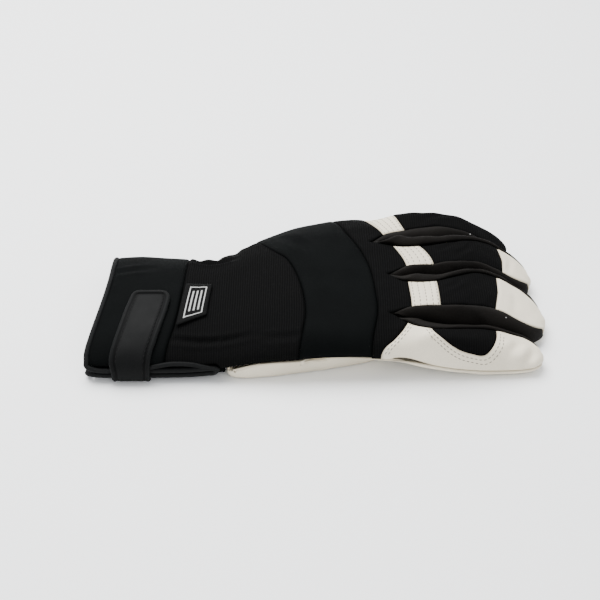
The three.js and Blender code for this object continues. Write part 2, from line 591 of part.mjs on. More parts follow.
for (const [a, b] of gaps) {
  const sheet = new Sheet();
  const crotch = (p) => stripPoint(a, 'far', 0, p).map((v, i) => (v + stripPoint(b, 'near', 0, p)[i]) / 2);
  const places = stripPlaces.slice().reverse();
  sheet.grid(stripRows.slice().reverse(), places, (t, p) => (t ? stripPoint(a, 'far', t, p) : crotch(p)));
  sheet.grid(stripRows, places, (t, p) => (t ? stripPoint(b, 'near', t, p) : crotch(p)));
  add(`fourchette_${a}_${b}`, sheet.geometry(SIDE_WALL), 'stretch');
}

// Palm with the finger fronts, and a bay on the near side for the thumb
const palm = new Sheet();
const palmLines = {
  index: [0, 0.03, 0.12, 0.3, 0.6, 1, 1.5, 1.85, 2], middle: [0, 0.15, 0.5, 1, 1.5, 1.85, 2],
};
palmLines.ring = palmLines.middle;
palmLines.little = flipped(palmLines.index);
const palmRows = [0, 0.04, 0.08, 0.13, 0.19, 0.26, 0.33, 0.39, 0.44, 0.47, 0.5, 0.58, 0.74, 1];
const frontRows = [0, 0.03, 0.12, 0.3, 0.5, 0.7, 0.84, 0.92, 0.96, 0.985, 0.995];
for (const zone of Object.keys(ZONES)) {
  const places = palmLines[zone].slice().reverse();
  zoneGrid(palm, zone, places, palmRows, edgeOf(PALM_SEAM, 3 * SEAM), edgeOf(SPLIT), underPoint);
  zoneGrid(palm, zone, places, frontRows, edgeOf(SPLIT), () => ZONES[zone].tip, underPoint);
}
add('palm', palm.geometry(LEATHER_WALL), 'leather');

// Thumb: a flat bag under the palm. Its mouth is the oval in the palm's bay, and it points to the fingertips.
const THUMB_ROOT = 0.295 * LENGTH;
const THUMB_TIP = 0.645 * LENGTH;
const THUMB_HALF = 0.117 * SPREAD;
const MOUTH_EASE = 0.013 * SPREAD;
const thumbAxis = (x) => SPREAD * (-0.222 + 0.1 * (x - THUMB_MOUTH) / (THUMB_TIP - THUMB_MOUTH));
function thumbPoint(turn, r) {
  const a = turn * 2 * Math.PI;
  const [c, s] = [Math.cos(a), Math.sin(a)];
  const middle = (THUMB_ROOT + THUMB_TIP) / 2;
  const long = (THUMB_TIP - THUMB_ROOT) / 2;
  const outX = middle + long * Math.sign(c) * Math.abs(c) ** (c < 0 ? 0.6 : 1);
  const outY = thumbAxis(outX) + THUMB_HALF * Math.sign(s) * Math.abs(s) ** (s < 0 ? 0.35 : 0.75);
  const mid = THUMB_LOFT / 2;
  if (r > 1) {
    const d = 2 - r;
    const lineX = middle + (long - THUMB_HALF) * clamp(1.12 * c, -1, 1);
    const z = mid - mid * (1 - d ** 4) ** 0.25;
    return [lerp(lineX, outX, d), lerp(thumbAxis(lineX), outY, d), rest(Math.max(0, z))];
  }
  const inBay = smooth(4 * s);
  const rimX = THUMB_MOUTH + (THUMB_MOUTH_HALF + SEAM * (4 * inBay - 1)) * c;
  const h = read(HAND, rimX);
  const rimY = lerp(h.near + SEAM + MOUTH_EASE * Math.min(1, 1 + s), palmRim(rimX, h) - SEAM, inBay);
  const rimZ = Math.min(s > 0 ? handUnder(rimX, rimY) : LOFT, h.nearEdge) - (3 + inBay) * SEAM;
  const x = lerp(rimX, outX, r);
  const y = lerp(rimY, outY, r);
  const top = Math.min(THUMB_LOFT, rimZ);
  const shelf = lerp(rimZ, top, smooth(r * 4));
  const z = mid + (shelf - mid) * (1 - r ** 3) ** (1 / 2.2);
  return [x, y, Math.min(z, handUnder(x, Math.max(y, read(HAND, x).near + 0.3 * THUMB_LOFT)) - 3 * SEAM)];
}
const thumb = new Sheet();
const thumbRings = [0, 0.12, 0.35, 0.62, 0.84, 0.96, 1, 1.04, 1.14, 1.4, 2];
thumb.grid(thumbRings, spread(0, 1, 24), (r, turn) => thumbPoint(turn % 1, r));
add('thumb', thumb.geometry(LEATHER_WALL), 'leather');

// Closure strap: from the floor up the near side and over the cuff, its end rounded
const STRAP = table('along left right', [
  [0, 0.0541, 0.1330],
  [0.0714, 0.0532, 0.1330],
  [0.1429, 0.0524, 0.1330],
  [0.2143, 0.0515, 0.1330],
  [0.2857, 0.0494, 0.1335],
  [0.3571, 0.0472, 0.1348],
  [0.4286, 0.0481, 0.1382],
  [0.5, 0.0532, 0.1451],
  [0.5714, 0.0601, 0.1528],
  [0.6429, 0.0670, 0.1597],
  [0.7143, 0.0730, 0.1657],
  [0.7857, 0.0798, 0.1691],
  [0.8571, 0.0833, 0.1665],
  [0.9286, 0.0884, 0.1597],
  [1, 0.0961, 0.1502],
]);
const strapOut = STRAP_WALL + 1.25 * SEAM;
const strapPath = [[2, 0.9], [2, 0.96], [2, 0.99], [1, 1], [1, 0.985], [1, 0.95], [1, 0.88], [1, 0.77],
  [1, 0.62], [1, 0.46], [1, 0.3], [1, 0.14], [1, 0.06], [1, 0.02], [1, 0]];
const strap = new Sheet();
strap.grid(strapPath.map((_, i) => i), [1, 0.88, 0.5, 0.12, 0], (i, w) => {
  const [face, reach] = strapPath[i];
  const row = read(STRAP, i / (strapPath.length - 1) * LENGTH);
  const x = lerp(row.left, row.right, w);
  const h = read(HAND, x);
  const y = (h.near + h.far) / 2 - ((h.far - h.near) / 2 + strapOut) * reach;
  return [x, y, face === 1 ? handBack(x, y, strapOut) : Math.max(0, handUnder(x, y, strapOut))];
});
add('closure_strap', strap.geometry(STRAP_WALL), 'strap');

// Label: a flat tab lying on the cuff seam
const labelOut = 2.5 * SEAM + LABEL_WALL;
const LABEL = { left: [0.187, 0.201], right: [0.2505, 0.2585], low: [-0.2, -0.132], high: 0.073 };
const label = new Sheet();
label.grid(spread(0, 1, 3), spread(0, 1, 5), (u, v) => {
  const x = LENGTH * lerp(lerp(...LABEL.left, v), lerp(...LABEL.right, v), u);
  const y = SPREAD * lerp(lerp(...LABEL.low, u), LABEL.high, v);
  return [x, y, handBack(x, y) + labelOut];
});
add('label_patch', label.geometry(LABEL_WALL), 'knit');

// Edge binding: a closed cord along both sides of the slit and round the cuff opening
const off = BINDING_RADIUS + SEAM * 0.75;
const slitPoint = (x, open) => {
  const h = read(HAND, x);
  return new THREE.Vector3(x, h.near + CUFF_WALL / 2, h.nearEdge + open);
};
const turnRadius = SLIT_HALF - off - 1.5 * SEAM;
const turnX = SLIT_END - SLIT_HALF;
const path = [];
for (const a of [60, 30, 0, -30, -60].map((d) => d * Math.PI / 180)) {
  path.push(slitPoint(turnX + turnRadius * Math.cos(a), -turnRadius * Math.sin(a)));
}
const slitRuns = [0.99, 0.8, 0.6, 0.4, 0.22, 0.08];
for (const t of slitRuns) path.push(slitPoint(turnX * t, turnRadius));
const mouthPlaces = [0.03, 0.08, 0.15, 0.24, 0.35, 0.46, 0.57, 0.68, 0.78, 0.86, 0.93, 0.98, 1.03, 1.09,
  1.17, 1.29, 1.43, 1.58, 1.72, 1.84, 1.92, 1.97];
for (const p of mouthPlaces) {
  const [, edgeY] = handRing(0, p, -CUFF_WALL / 2, turnRadius);
  const [x, y, z] = handRing(seamAt(CUFF_EDGE, edgeY) - off - SEAM, p, -CUFF_WALL / 2, turnRadius);
  path.push(new THREE.Vector3(x, y, Math.max(BINDING_RADIUS + SEAM, z)));
}
for (const t of slitRuns.slice().reverse()) path.push(slitPoint(turnX * t, -turnRadius));
const curve = new THREE.CatmullRomCurve3(path, true, 'centripetal');
const stations = 84;
const frames = curve.computeFrenetFrames(stations, true);
const binding = new Sheet();
binding.grid(spread(0, 1, stations), spread(0, 1, 6), (u, v) => {
  const i = Math.round(u * stations) % stations;
  const centre = curve.getPointAt(i / stations);
  const a = -(v % 1) * 2 * Math.PI;
  const out = frames.normals[i].clone().multiplyScalar(Math.cos(a));
  out.addScaledVector(frames.binormals[i], Math.sin(a));
  return centre.addScaledVector(out, BINDING_RADIUS).toArray();
});
add('cuff_binding', binding.geometry(0), 'strap');

// The part's origin is at the middle of its footprint, on the floor
const box = new THREE.Box3().setFromObject(group, true);
group.position.set(-(box.min.x + box.max.x) / 2, -(box.min.y + box.max.y) / 2, -box.min.z);

export default group;
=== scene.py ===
"""Left-hand mechanic glove, lying back of the hand up: its cloth, leather, stitching and stage."""
import functools
import math

import bpy
import numpy as np
from bpy.props import FloatProperty, FloatVectorProperty, PointerProperty
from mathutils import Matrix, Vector
from mathutils.bvhtree import BVHTree
from mathutils.kdtree import KDTree


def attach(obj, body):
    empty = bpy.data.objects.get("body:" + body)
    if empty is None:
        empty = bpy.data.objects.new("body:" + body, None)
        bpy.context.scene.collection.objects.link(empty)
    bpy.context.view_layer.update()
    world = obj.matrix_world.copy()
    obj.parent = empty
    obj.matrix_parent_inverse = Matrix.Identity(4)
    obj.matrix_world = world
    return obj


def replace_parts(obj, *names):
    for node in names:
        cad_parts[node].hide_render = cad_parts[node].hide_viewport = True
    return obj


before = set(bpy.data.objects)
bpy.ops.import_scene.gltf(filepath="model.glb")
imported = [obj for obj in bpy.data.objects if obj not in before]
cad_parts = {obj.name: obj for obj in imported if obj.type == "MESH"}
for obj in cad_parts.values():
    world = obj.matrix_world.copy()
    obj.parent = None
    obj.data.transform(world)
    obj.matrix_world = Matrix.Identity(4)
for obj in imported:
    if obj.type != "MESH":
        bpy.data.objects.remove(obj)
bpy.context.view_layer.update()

bl_info = {
    "name": "Mechanic glove",
    "version": (1, 0, 0),
    "blender": (4, 5, 0),
    "location": "View3D > Sidebar > Glove",
    "description": "Builds a mechanic glove panel by panel over its fixed solids",
    "category": "Object",
}

# Driving sizes in millimetres, the same as the solids have
LENGTH, SPREAD, LOFT = 233.0, 112.0, 32.0
SEAM = 0.4
LAP = 0.02    # the cloth's rolled edges meet this far from the seam's middle
CUFF_WALL, KNIT_WALL, LEATHER_WALL, SIDE_WALL = 2.0, 1.4, 1.3, 1.1
BINDING_RADIUS, STRAP_WALL, LABEL_WALL, LINING_WALL = 1.1, 1.8, 0.8, 0.8
ROUNDNESS, TIP_ROUNDING, STRIP_END, THUMB_LOFT = 2.35, 13.0, 0.62, 10.0
ORIGIN = np.array([114.869, 15.251, 0.0])    # middle of the glove's footprint, measured from the cuff
ALONG = ("at", "along", "left", "right")
ACROSS = ("near", "far", "nearSide", "farSide", "across")
FINGER = "at near far nearSide farSide crown seam mid fold under"
LINE = "across along"


def table(names, rows):
    """Columns by name; each holds shares of the size it follows."""
    columns = names.split()
    follows = [LENGTH if n in ALONG else SPREAD if n in ACROSS else LOFT for n in columns]
    return columns, np.array(rows, float) * np.array(follows)


# The hand, a row per section: its edges, crown, edge heights and underside heights
HAND = table("at near far crown nearEdge farEdge nearUnder farUnder", [
    (0.0, -0.3527, 0.4107, 0.6094, 0.1688, 0.25, 0.0, 0.0),
    (0.0858, -0.3571, 0.4107, 0.6875, 0.1688, 0.25, 0.0, 0.0),
    (0.1888, -0.3527, 0.3884, 0.7188, 0.1688, 0.25, 0.0, 0.0),
    (0.2489, -0.3482, 0.3795, 0.7031, 0.1812, 0.25, 0.0, 0.0),
    (0.3004, -0.3518, 0.4286, 0.7344, 0.2625, 0.25, 0.1719, 0.0),
    (0.3605, -0.3509, 0.5179, 0.8125, 0.3563, 0.2656, 0.3312, 0.0),
    (0.4506, -0.3482, 0.5982, 0.9313, 0.4188, 0.2812, 0.3625, 0.0),
    (0.5494, -0.3429, 0.6429, 1.0, 0.4437, 0.2969, 0.3625, 0.0),
    (0.6223, -0.3393, 0.6393, 0.9875, 0.425, 0.3125, 0.3187, 0.0),
    (0.7511, -0.3348, 0.6607, 0.9062, 0.3438, 0.3125, 0.1875, 0.0),
])

# The fingers, a row per section: top seams, side bulges and heights
INDEX = table(FINGER, [
    (0.6094, -0.3402, -0.167, -0.3402, -0.167, 0.9531, 0.9219, 0.4313, 0.3281, 0.3125),
    (0.6438, -0.3384, -0.167, -0.3384, -0.167, 0.9219, 0.8906, 0.4188, 0.3063, 0.275),
    (0.691, -0.3348, -0.2232, -0.3348, -0.1643, 0.8625, 0.8125, 0.35, 0.2687, 0.2),
    (0.7382, -0.3348, -0.2357, -0.3348, -0.1562, 0.8, 0.75, 0.275, 0.2188, 0.125),
    (0.7854, -0.3348, -0.2125, -0.3348, -0.1482, 0.7312, 0.6813, 0.2062, 0.1812, 0.0625),
    (0.8369, -0.333, -0.1839, -0.333, -0.1393, 0.6375, 0.5938, 0.1625, 0.1437, 0.0156),
    (0.8841, -0.3304, -0.1679, -0.3304, -0.1339, 0.5312, 0.4875, 0.15, 0.1125, 0.0),
    (0.927, -0.325, -0.1661, -0.325, -0.1375, 0.4062, 0.3688, 0.15, 0.0938, 0.0),
    (0.9785, -0.3179, -0.1732, -0.3179, -0.1518, 0.3, 0.275, 0.1562, 0.075, 0.0),
])
MIDDLE = table(FINGER, [
    (0.6094, -0.167, 0.0759, -0.167, 0.0759, 0.9938, 0.9688, 0.6562, 0.3281, 0.3125),
    (0.6438, -0.167, 0.0759, -0.167, 0.0759, 0.9812, 0.9563, 0.625, 0.3125, 0.2938),
    (0.6781, -0.1393, 0.0348, -0.1661, 0.083, 0.9688, 0.925, 0.5781, 0.2938, 0.2625),
    (0.7425, -0.1179, 0.0518, -0.1482, 0.1205, 0.9187, 0.875, 0.5156, 0.25, 0.1875),
    (0.7897, -0.1018, 0.1, -0.1393, 0.15, 0.875, 0.8313, 0.4562, 0.2062, 0.1187),
    (0.8412, -0.075, 0.1643, -0.1304, 0.1964, 0.7812, 0.7375, 0.3875, 0.1688, 0.05),
    (0.8884, -0.0661, 0.1804, -0.125, 0.2054, 0.65, 0.6125, 0.3063, 0.1375, 0.0063),
    (0.9313, -0.0804, 0.1696, -0.1304, 0.1929, 0.4813, 0.4437, 0.2313, 0.1062, 0.0),
    (0.9914, -0.1071, 0.1071, -0.1375, 0.1304, 0.3, 0.275, 0.1562, 0.075, 0.0),
])
RING = table(FINGER, [
    (0.6094, 0.0759, 0.3161, 0.0759, 0.3161, 0.9969, 0.9688, 0.6406, 0.1875, 0.1562),
    (0.6438, 0.0759, 0.3, 0.0759, 0.3179, 0.9875, 0.9563, 0.6094, 0.1812, 0.1437),
    (0.6781, 0.1232, 0.2893, 0.0902, 0.3357, 0.9688, 0.9313, 0.5625, 0.175, 0.125),
    (0.7339, 0.1607, 0.3143, 0.1268, 0.3786, 0.9313, 0.8875, 0.5062, 0.1625, 0.0938),
    (0.7897, 0.2018, 0.3554, 0.1589, 0.4196, 0.8875, 0.8438, 0.4437, 0.15, 0.0563),
    (0.8455, 0.2375, 0.4054, 0.2054, 0.4518, 0.7875, 0.75, 0.3688, 0.1375, 0.0187),
    (0.8884, 0.2464, 0.4232, 0.2143, 0.4536, 0.6562, 0.6188, 0.2938, 0.125, 0.0),
    (0.927, 0.2393, 0.4179, 0.2054, 0.4393, 0.4875, 0.4562, 0.225, 0.1, 0.0),
    (0.9828, 0.2143, 0.375, 0.1821, 0.3982, 0.3125, 0.2875, 0.1562, 0.075, 0.0),
])
LITTLE = table(FINGER, [
    (0.5751, 0.3161, 0.6393, 0.3161, 0.6393, 0.975, 0.9563, 0.375, 0.1437, 0.0469),
    (0.6094, 0.3161, 0.6393, 0.3161, 0.6393, 0.9625, 0.95, 0.375, 0.1437, 0.0437),
    (0.6438, 0.3893, 0.6357, 0.3268, 0.6357, 0.9375, 0.9187, 0.375, 0.1437, 0.0375),
    (0.6867, 0.4339, 0.6375, 0.3518, 0.6375, 0.9, 0.8812, 0.375, 0.1437, 0.0312),
    (0.7296, 0.4732, 0.6446, 0.3857, 0.6446, 0.8625, 0.8438, 0.3688, 0.1406, 0.0187),
    (0.7768, 0.4982, 0.65, 0.4196, 0.65, 0.8187, 0.8, 0.35, 0.1375, 0.0094),
    (0.824, 0.4982, 0.6464, 0.4518, 0.6464, 0.7375, 0.7188, 0.3125, 0.1313, 0.0),
    (0.8627, 0.4911, 0.6375, 0.4589, 0.6375, 0.6125, 0.5938, 0.2687, 0.1187, 0.0),
    (0.897, 0.4804, 0.625, 0.4518, 0.625, 0.475, 0.4562, 0.225, 0.1, 0.0),
    (0.9399, 0.4696, 0.6107, 0.4411, 0.6107, 0.3312, 0.3063, 0.1688, 0.075, 0.0),
])

# Seams across the hand: place across, place along
CUFF_EDGE = table(LINE, [
    (-0.3571, 0.0026),
    (-0.3036, 0.0),
    (-0.25, 0.0043),
    (-0.1339, 0.0146),
    (0.1071, 0.0296),
    (0.3929, 0.0318),
    (0.7143, 0.0318),
])
CUFF_SEAM = table(LINE, [
    (-0.3571, 0.1631),
    (-0.2768, 0.1717),
    (-0.1875, 0.1828),
    (-0.0411, 0.1914),
    (0.1786, 0.1966),
    (0.375, 0.1991),
    (0.7143, 0.2),
])
PALM_SEAM = table(LINE, [
    (-0.375, 0.2961),
    (-0.3036, 0.2893),
    (-0.1786, 0.2661),
    (0.0, 0.2369),
    (0.1786, 0.2129),
    (0.3214, 0.2026),
    (0.4464, 0.2),
    (0.7143, 0.2),
])
BAND_LEFT = table(LINE, [
    (-0.3571, 0.4489),
    (-0.25, 0.4584),
    (-0.1696, 0.4635),
    (-0.0625, 0.4601),
    (0.0804, 0.4459),
    (0.2143, 0.4223),
    (0.2946, 0.394),
    (0.4107, 0.3605),
    (0.5357, 0.3322),
    (0.7143, 0.3004),
])
BAND_RIGHT = table(LINE, [
    (-0.3571, 0.6034),
    (-0.2857, 0.6086),
    (-0.1696, 0.6189),
    (-0.0536, 0.6163),
    (0.1071, 0.6069),
    (0.2321, 0.5897),
    (0.4196, 0.5536),
    (0.5536, 0.533),
    (0.7143, 0.5133),
])

# The line through the points where the fingers part
SPLIT = table(LINE, [
    (-0.3571, 0.6112),
    (-0.167, 0.6438),
    (0.0759, 0.6438),
    (0.3161, 0.6094),
    (0.5357, 0.5768),
    (0.7143, 0.5554),
])

# The two seams of the knuckle patches
PATCH_LEFT = table(LINE, [
    (-0.3571, 0.6163),
    (-0.325, 0.6309),
    (-0.2902, 0.6541),
    (-0.2455, 0.6738),
    (-0.1786, 0.6893),
    (-0.1339, 0.6927),
    (0.0268, 0.6893),
    (0.1339, 0.6901),
    (0.2679, 0.6678),
    (0.3973, 0.6403),
    (0.5357, 0.6112),
    (0.7143, 0.5854),
])
PATCH_RIGHT = table(LINE, [
    (-0.3571, 0.7554),
    (-0.1161, 0.7554),
    (0.0446, 0.7528),
    (0.1741, 0.7511),
    (0.2946, 0.7262),
    (0.4464, 0.6918),
    (0.5357, 0.6764),
    (0.7143, 0.6541),
])

# The strap's two long edges, a row per step from under the cuff to its end
STRAP = table("along left right", [
    (0, 0.0541, 0.1330),
    (0.0714, 0.0532, 0.1330),
    (0.1429, 0.0524, 0.1330),
    (0.2143, 0.0515, 0.1330),
    (0.2857, 0.0494, 0.1335),
    (0.3571, 0.0472, 0.1348),
    (0.4286, 0.0481, 0.1382),
    (0.5, 0.0532, 0.1451),
    (0.5714, 0.0601, 0.1528),
    (0.6429, 0.0670, 0.1597),
    (0.7143, 0.0730, 0.1657),
    (0.7857, 0.0798, 0.1691),
    (0.8571, 0.0833, 0.1665),
    (0.9286, 0.0884, 0.1597),
    (1, 0.0961, 0.1502),
])

# How far the strap reaches out at each row, of half the cuff's width, and the row from which it lies on the back
STRAP_REACH = (0.9, 0.96, 0.99, 1, 0.985, 0.95, 0.88, 0.77, 0.62, 0.46, 0.3, 0.14, 0.06, 0.02, 0)
STRAP_TURN = 3

# Each finger's sections, its tip, where it parts from its neighbours, and its side that has none
ZONES = {
    "index": dict(rows=INDEX, tip=0.9785 * LENGTH, nearPart=0, farPart=0.644 * LENGTH, outer="near"),
    "middle": dict(rows=MIDDLE, tip=0.9983 * LENGTH, nearPart=0.644 * LENGTH, farPart=0.644 * LENGTH, outer=""),
    "ring": dict(rows=RING, tip=0.9845 * LENGTH, nearPart=0.644 * LENGTH, farPart=0.6096 * LENGTH, outer=""),
    "little": dict(rows=LITTLE, tip=0.9425 * LENGTH, nearPart=0.6096 * LENGTH, farPart=0, outer="far"),
}

# The slit, and the thumb: its mouth in the palm, its ends, and its line with the way that it leans
SLIT_END, SLIT_HALF = 0.283 * LENGTH, 0.112 * LOFT
THUMB_MOUTH, THUMB_MOUTH_HALF, THUMB_MOUTH_DEPTH = 0.382 * LENGTH, 0.072 * LENGTH, 0.18 * SPREAD
THUMB_ROOT, THUMB_TIP, THUMB_HALF, MOUTH_EASE = 0.295 * LENGTH, 0.645 * LENGTH, 0.117 * SPREAD, 0.003 * SPREAD
THUMB_SIDE, THUMB_LEAN = -0.222 * SPREAD, 0.1 * SPREAD

# The oval of knit over the index finger, the seams of the fingertips and the label's corners
OVAL_CENTRE, OVAL_HALF, OVAL_LOW = 0.8045 * LENGTH, 0.0715 * LENGTH, -0.3235 * SPREAD
OVAL_LEAN, OVAL_ROUNDNESS = 0.25, 3.6
CAP_SEAM = {"middle": (0.8798, 0.8914, 0.8948), "ring": (0.9137, 0.9171, 0.9103)}
LABEL = dict(left=(0.187, 0.201), right=(0.2505, 0.2585), low=(-0.2, -0.132), high=0.073)

PUFF = dict(near=0.2, far=0.28)    # how far a side strip swells above its top edge, of its height
STRIP_FADE = 0.12                  # how soon a side strip narrows past STRIP_END
PALM_LAP = 2.5 * SEAM              # from the slit down to the palm's edge
BACK_BLEND, UNDER_BLEND = 0.1 * LENGTH, 0.06 * LENGTH    # where a finger's section takes over from the hand's
KNUCKLE_LINE = 0.66 * LENGTH       # about where the fingers start, to search a seam from
REST, TOUCH = 0.025 * LOFT, 0.05   # a soft underside this low lies down, and what is lower lies on the floor
FAR_OFF, EVEN_EDGE = 50.0, 1.5     # further than any edge, and how near its seams a panel stays even
RIM_CAP, WELDS_PER_MM = 20.0, 200  # the longest way to an edge that is kept, and how finely corners weld
MAP_MM = 100.0                     # one unit of a piece's own map, in millimetres
WALLS = {"neoprene": CUFF_WALL, "knit": KNIT_WALL, "stretch": SIDE_WALL, "leather": LEATHER_WALL,
         "rubber": STRAP_WALL, "label": LABEL_WALL}

# How deep and how wide a panel's edge rolls into its seam, in millimetres
ROLLS = {"cuff": (0.7, 2.4), "wrist": (0.7, 2.0), "band": (0.7, 3.0), "finger": (0.6, 1.8), "strip": (0.6, 1.5),
         "patch": (0.45, 1.2), "tip": (0.45, 1.4), "palm": (0.4, 1.4), "strap": (0.55, 1.1), "label": (0.25, 0.7),
         "lining": (0.1, 0.5)}

# The slit's upper binding: places along the glove and heights, in millimetres
LOOP_PATH = ((21, 7.6), (27, 8.6), (34, 10.4), (42, 11.4), (51, 11.0), (58, 9.6), (65, 8.2))

# The binding's way round the cuff's opening, and its way along the slit
OPENING_PLACES = (0.03, 0.08, 0.15, 0.24, 0.35, 0.46, 0.57, 0.68, 0.78, 0.86, 0.93, 0.98, 1.03, 1.09,
                  1.17, 1.29, 1.43, 1.58, 1.72, 1.84, 1.92, 1.97)
SLIT_PLACES = (0.99, 0.8, 0.6, 0.4, 0.22, 0.08)

# Creases: start, bend and end on the plan, then depth and width, all in millimetres
CUFF_FOLDS = ((4, 20, 14, 26, 30, 24, 0.5, 2.4), (30, -20, 36, -6, 34, 8, 0.35, 2.2))
WRIST_FOLDS = ((47, 36, 56, 29, 72, 33, 1.5, 1.9), (49, 46, 52, 40, 53, 31, 0.75, 2.0),
               (59, 47, 61, 40, 62, 32, 0.8, 2.2), (70, 50, 71, 43, 71, 35, 0.6, 2.2),
               (36, -28, 58, -31, 84, -28, 1.2, 1.6), (86, -30, 98, -32, 110, -30, 0.6, 1.8))
BAND_FOLDS = ((94, 48, 104, 40, 112, 26, 0.4, 3.0),)
FINGER_FOLDS = ((176, 30, 184, 34, 188, 42, 0.6, 1.6), (186, 28, 194, 33, 198, 44, 0.5, 1.5),
                (178, -2, 186, 4, 190, 12, 0.4, 1.6), (172, 60, 180, 66, 190, 66, 0.4, 1.6))
TIP_FOLDS = ((212, -8, 218, 2, 216, 14, 0.35, 1.8), (214, 28, 219, 34, 217, 42, 0.35, 1.6))
WRAP_FOLDS = ((206, -36, 213, -31, 216, -24, 0.9, 2.2), (214, -35, 220, -31, 222, -25, 0.6, 1.6),
              (166, -36, 174, -33, 182, -36, 0.5, 2.0), (215, -37.5, 221, -34, 223, -27, 1.7, 1.7))
STRIP_FOLDS = ((176, 16, 180, 19, 186, 20, 0.5, 1.3), (190, -16, 196, -14, 203, -17, 0.5, 1.4),
               (184, 46, 188, 48, 194, 50, 0.4, 1.2))

# Stitch rows: shares of a patch's length, of the strap's width, and ways off the wrap's edges
QUILT_LINES = (0.1, 0.3, 0.52, 0.74, 0.92)
STRAP_LINES = (0.155, 0.845)
WRAP_LINES = (1.6, 3.2)

# A stitch: its share of the pitch, its width and height, and its half rings' places and sizes along it
STITCH_SHARE, STITCH_WIDTH, STITCH_HEIGHT = 0.72, 0.5, 0.34
STITCH_RINGS = ((-0.5, 0.12), (-0.42, 0.75), (-0.15, 1.0), (0.15, 1.0), (0.42, 0.75), (0.5, 0.12))

# The stage: a floor a hair below the glove, lamps and the camera, in metres, and its aim in millimetres
FLOOR_HALF, FLOOR_GAP = 3.0, 0.0002
LAMPS = (("Overhead softbox", (-0.25, 0.35, 0.95), 1.0, 1.0), ("Front fill", (0.2, -1.0, 0.7), 0.9, 0.06))
ROOM_TONE, ROOM_LIGHT = (0.95, 0.97, 1.0, 1.0), 1.2
LENS, FILM, AIM = 81.18, 36.0, (105.4, 24.0, 0.0)


# Curves and sections
def mix(a, b, t):
    return a + (b - a) * t


def smooth(t):
    u = np.clip(t, 0, 1)
    return u * u * (3 - 2 * u)


def evenly(low, high, n):
    return np.linspace(low, high, n + 1)


def curve(a, b, slope_a, slope_b, t):
    """From a to b, with the slopes given over the whole step."""
    return ((2 * t**3 - 3 * t**2 + 1) * a + (t**3 - 2 * t**2 + t) * slope_a
            + (3 * t**2 - 2 * t**3) * b + (t**3 - t**2) * slope_b)


def read(tab, at):
    """A smooth curve through a table's rows, read at places in its first column."""
    names, rows = tab
    x = np.clip(np.asarray(at, float), rows[0, 0], rows[-1, 0])
    k = np.searchsorted(rows[1:-1, 0], x, side="left")
    more = np.vstack([2 * rows[0] - rows[1], rows, 2 * rows[-1] - rows[-2]])
    a, b, c, d = more[k], more[k + 1], more[k + 2], more[k + 3]
    step = (c[..., 0] - b[..., 0])[..., None]
    t = (x[..., None] - b[..., :1]) / step
    m1 = (c - a) / (c[..., :1] - a[..., :1]) * step
    m2 = (d - b) / (d[..., :1] - b[..., :1]) * step
    out = curve(b, c, m1, m2, t)
    return {n: out[..., i] for i, n in enumerate(names)}


def seam_at(tab, y):
    return read(tab, y)["along"]


def edge_of(seam, trim=0.0):
    return lambda y, q: seam_at(seam, y) + trim


def place_on_hand(x, y, grow):
    h = read(HAND, x)
    near, far = h["near"] - grow, h["far"] + grow
    a = np.clip((y - (near + far) / 2) / ((far - near) / 2), -1, 1)
    return h, a, mix(h["nearEdge"], h["farEdge"], (a + 1) / 2)


def hand_back(x, y, grow=0.0):
    h, a, edge = place_on_hand(x, y, grow)
    return edge + (h["crown"] + grow - edge) * (1 - np.abs(a) ** ROUNDNESS) ** (1 / ROUNDNESS)


def hand_under(x, y, grow=0.0):
    h, a, edge = place_on_hand(x, y, grow)
    under = mix(h["farUnder"], h["nearUnder"], smooth((0.55 - a) / 0.75)) - grow
    return edge - (edge - under) * (1 - a**4) ** (1 / 3)


def rest(z):
    """A soft underside lies flat on the floor where it comes close to it."""
    return np.where(z < 2 * REST, np.maximum(0, 2 * (z - REST)), z)


def section(zone, x):
    """A finger's edges and heights at a place, with the rounding of the tip taken in."""
    z = ZONES[zone]
    r, h, first = read(z["rows"], x), read(HAND, x), read(z["rows"], 0)
    for side in ("near", "far"):
        part = z[side + "Part"]
        r[side] = np.where(x <= part, first[side], r[side]) if part else r[side]
        r[side] = r[side] if part else np.where(x < z["rows"][1][1, 0], h[side], r[side])
    past = np.clip((x - z["tip"] + TIP_ROUNDING) / TIP_ROUNDING, 0, 1)
    left = (1 - past**2.3) ** (1 / 2.3)
    centre = (r["near"] + r["far"]) / 2
    for key in ("near", "far", "nearSide", "farSide"):
        r[key] = centre + (r[key] - centre) * left
    for key in ("crown", "seam", "fold", "under"):
        r[key] = r["mid"] + (r[key] - r["mid"]) * left
    r["shrink"] = left
    return r


def across(zone, r, q):
    """q runs 0 to 2 from near edge to far edge."""
    centre, half = (r["near"] + r["far"]) / 2, (r["far"] - r["near"]) / 2
    near = q < 1
    p = np.where(near, q, 2 - q)
    outer = ZONES[zone]["outer"]
    rounded = near if outer == "near" else ~near if outer == "far" else np.zeros_like(near)
    out = np.where(rounded, np.cos(p * math.pi / 2) ** (2 / ROUNDNESS), 1 - p)
    return centre + np.where(near, -1, 1) * half * out, out, rounded


def rise(out, rounded, power=2.0):
    return np.where(rounded, 1 - (1 - out**ROUNDNESS) ** (1 / ROUNDNESS), out**power)


def parting(zone, q):
    z = ZONES[zone]
    return mix(z["nearPart"] or z["farPart"], z["farPart"] or z["nearPart"], q / 2)


def slit_half(x):
    past = np.clip((x - SLIT_END + SLIT_HALF) / SLIT_HALF, 0, 1)
    return np.maximum(SLIT_HALF * np.sqrt(1 - past * past), SEAM / 2)


def back_reach(height, gap):
    return (1 - np.clip(gap / height, 0, 0.9) ** ROUNDNESS) ** (1 / ROUNDNESS)


def under_reach(drop, gap):
    return (1 - np.clip(gap / drop, 0, 0.9) ** 3) ** 0.25


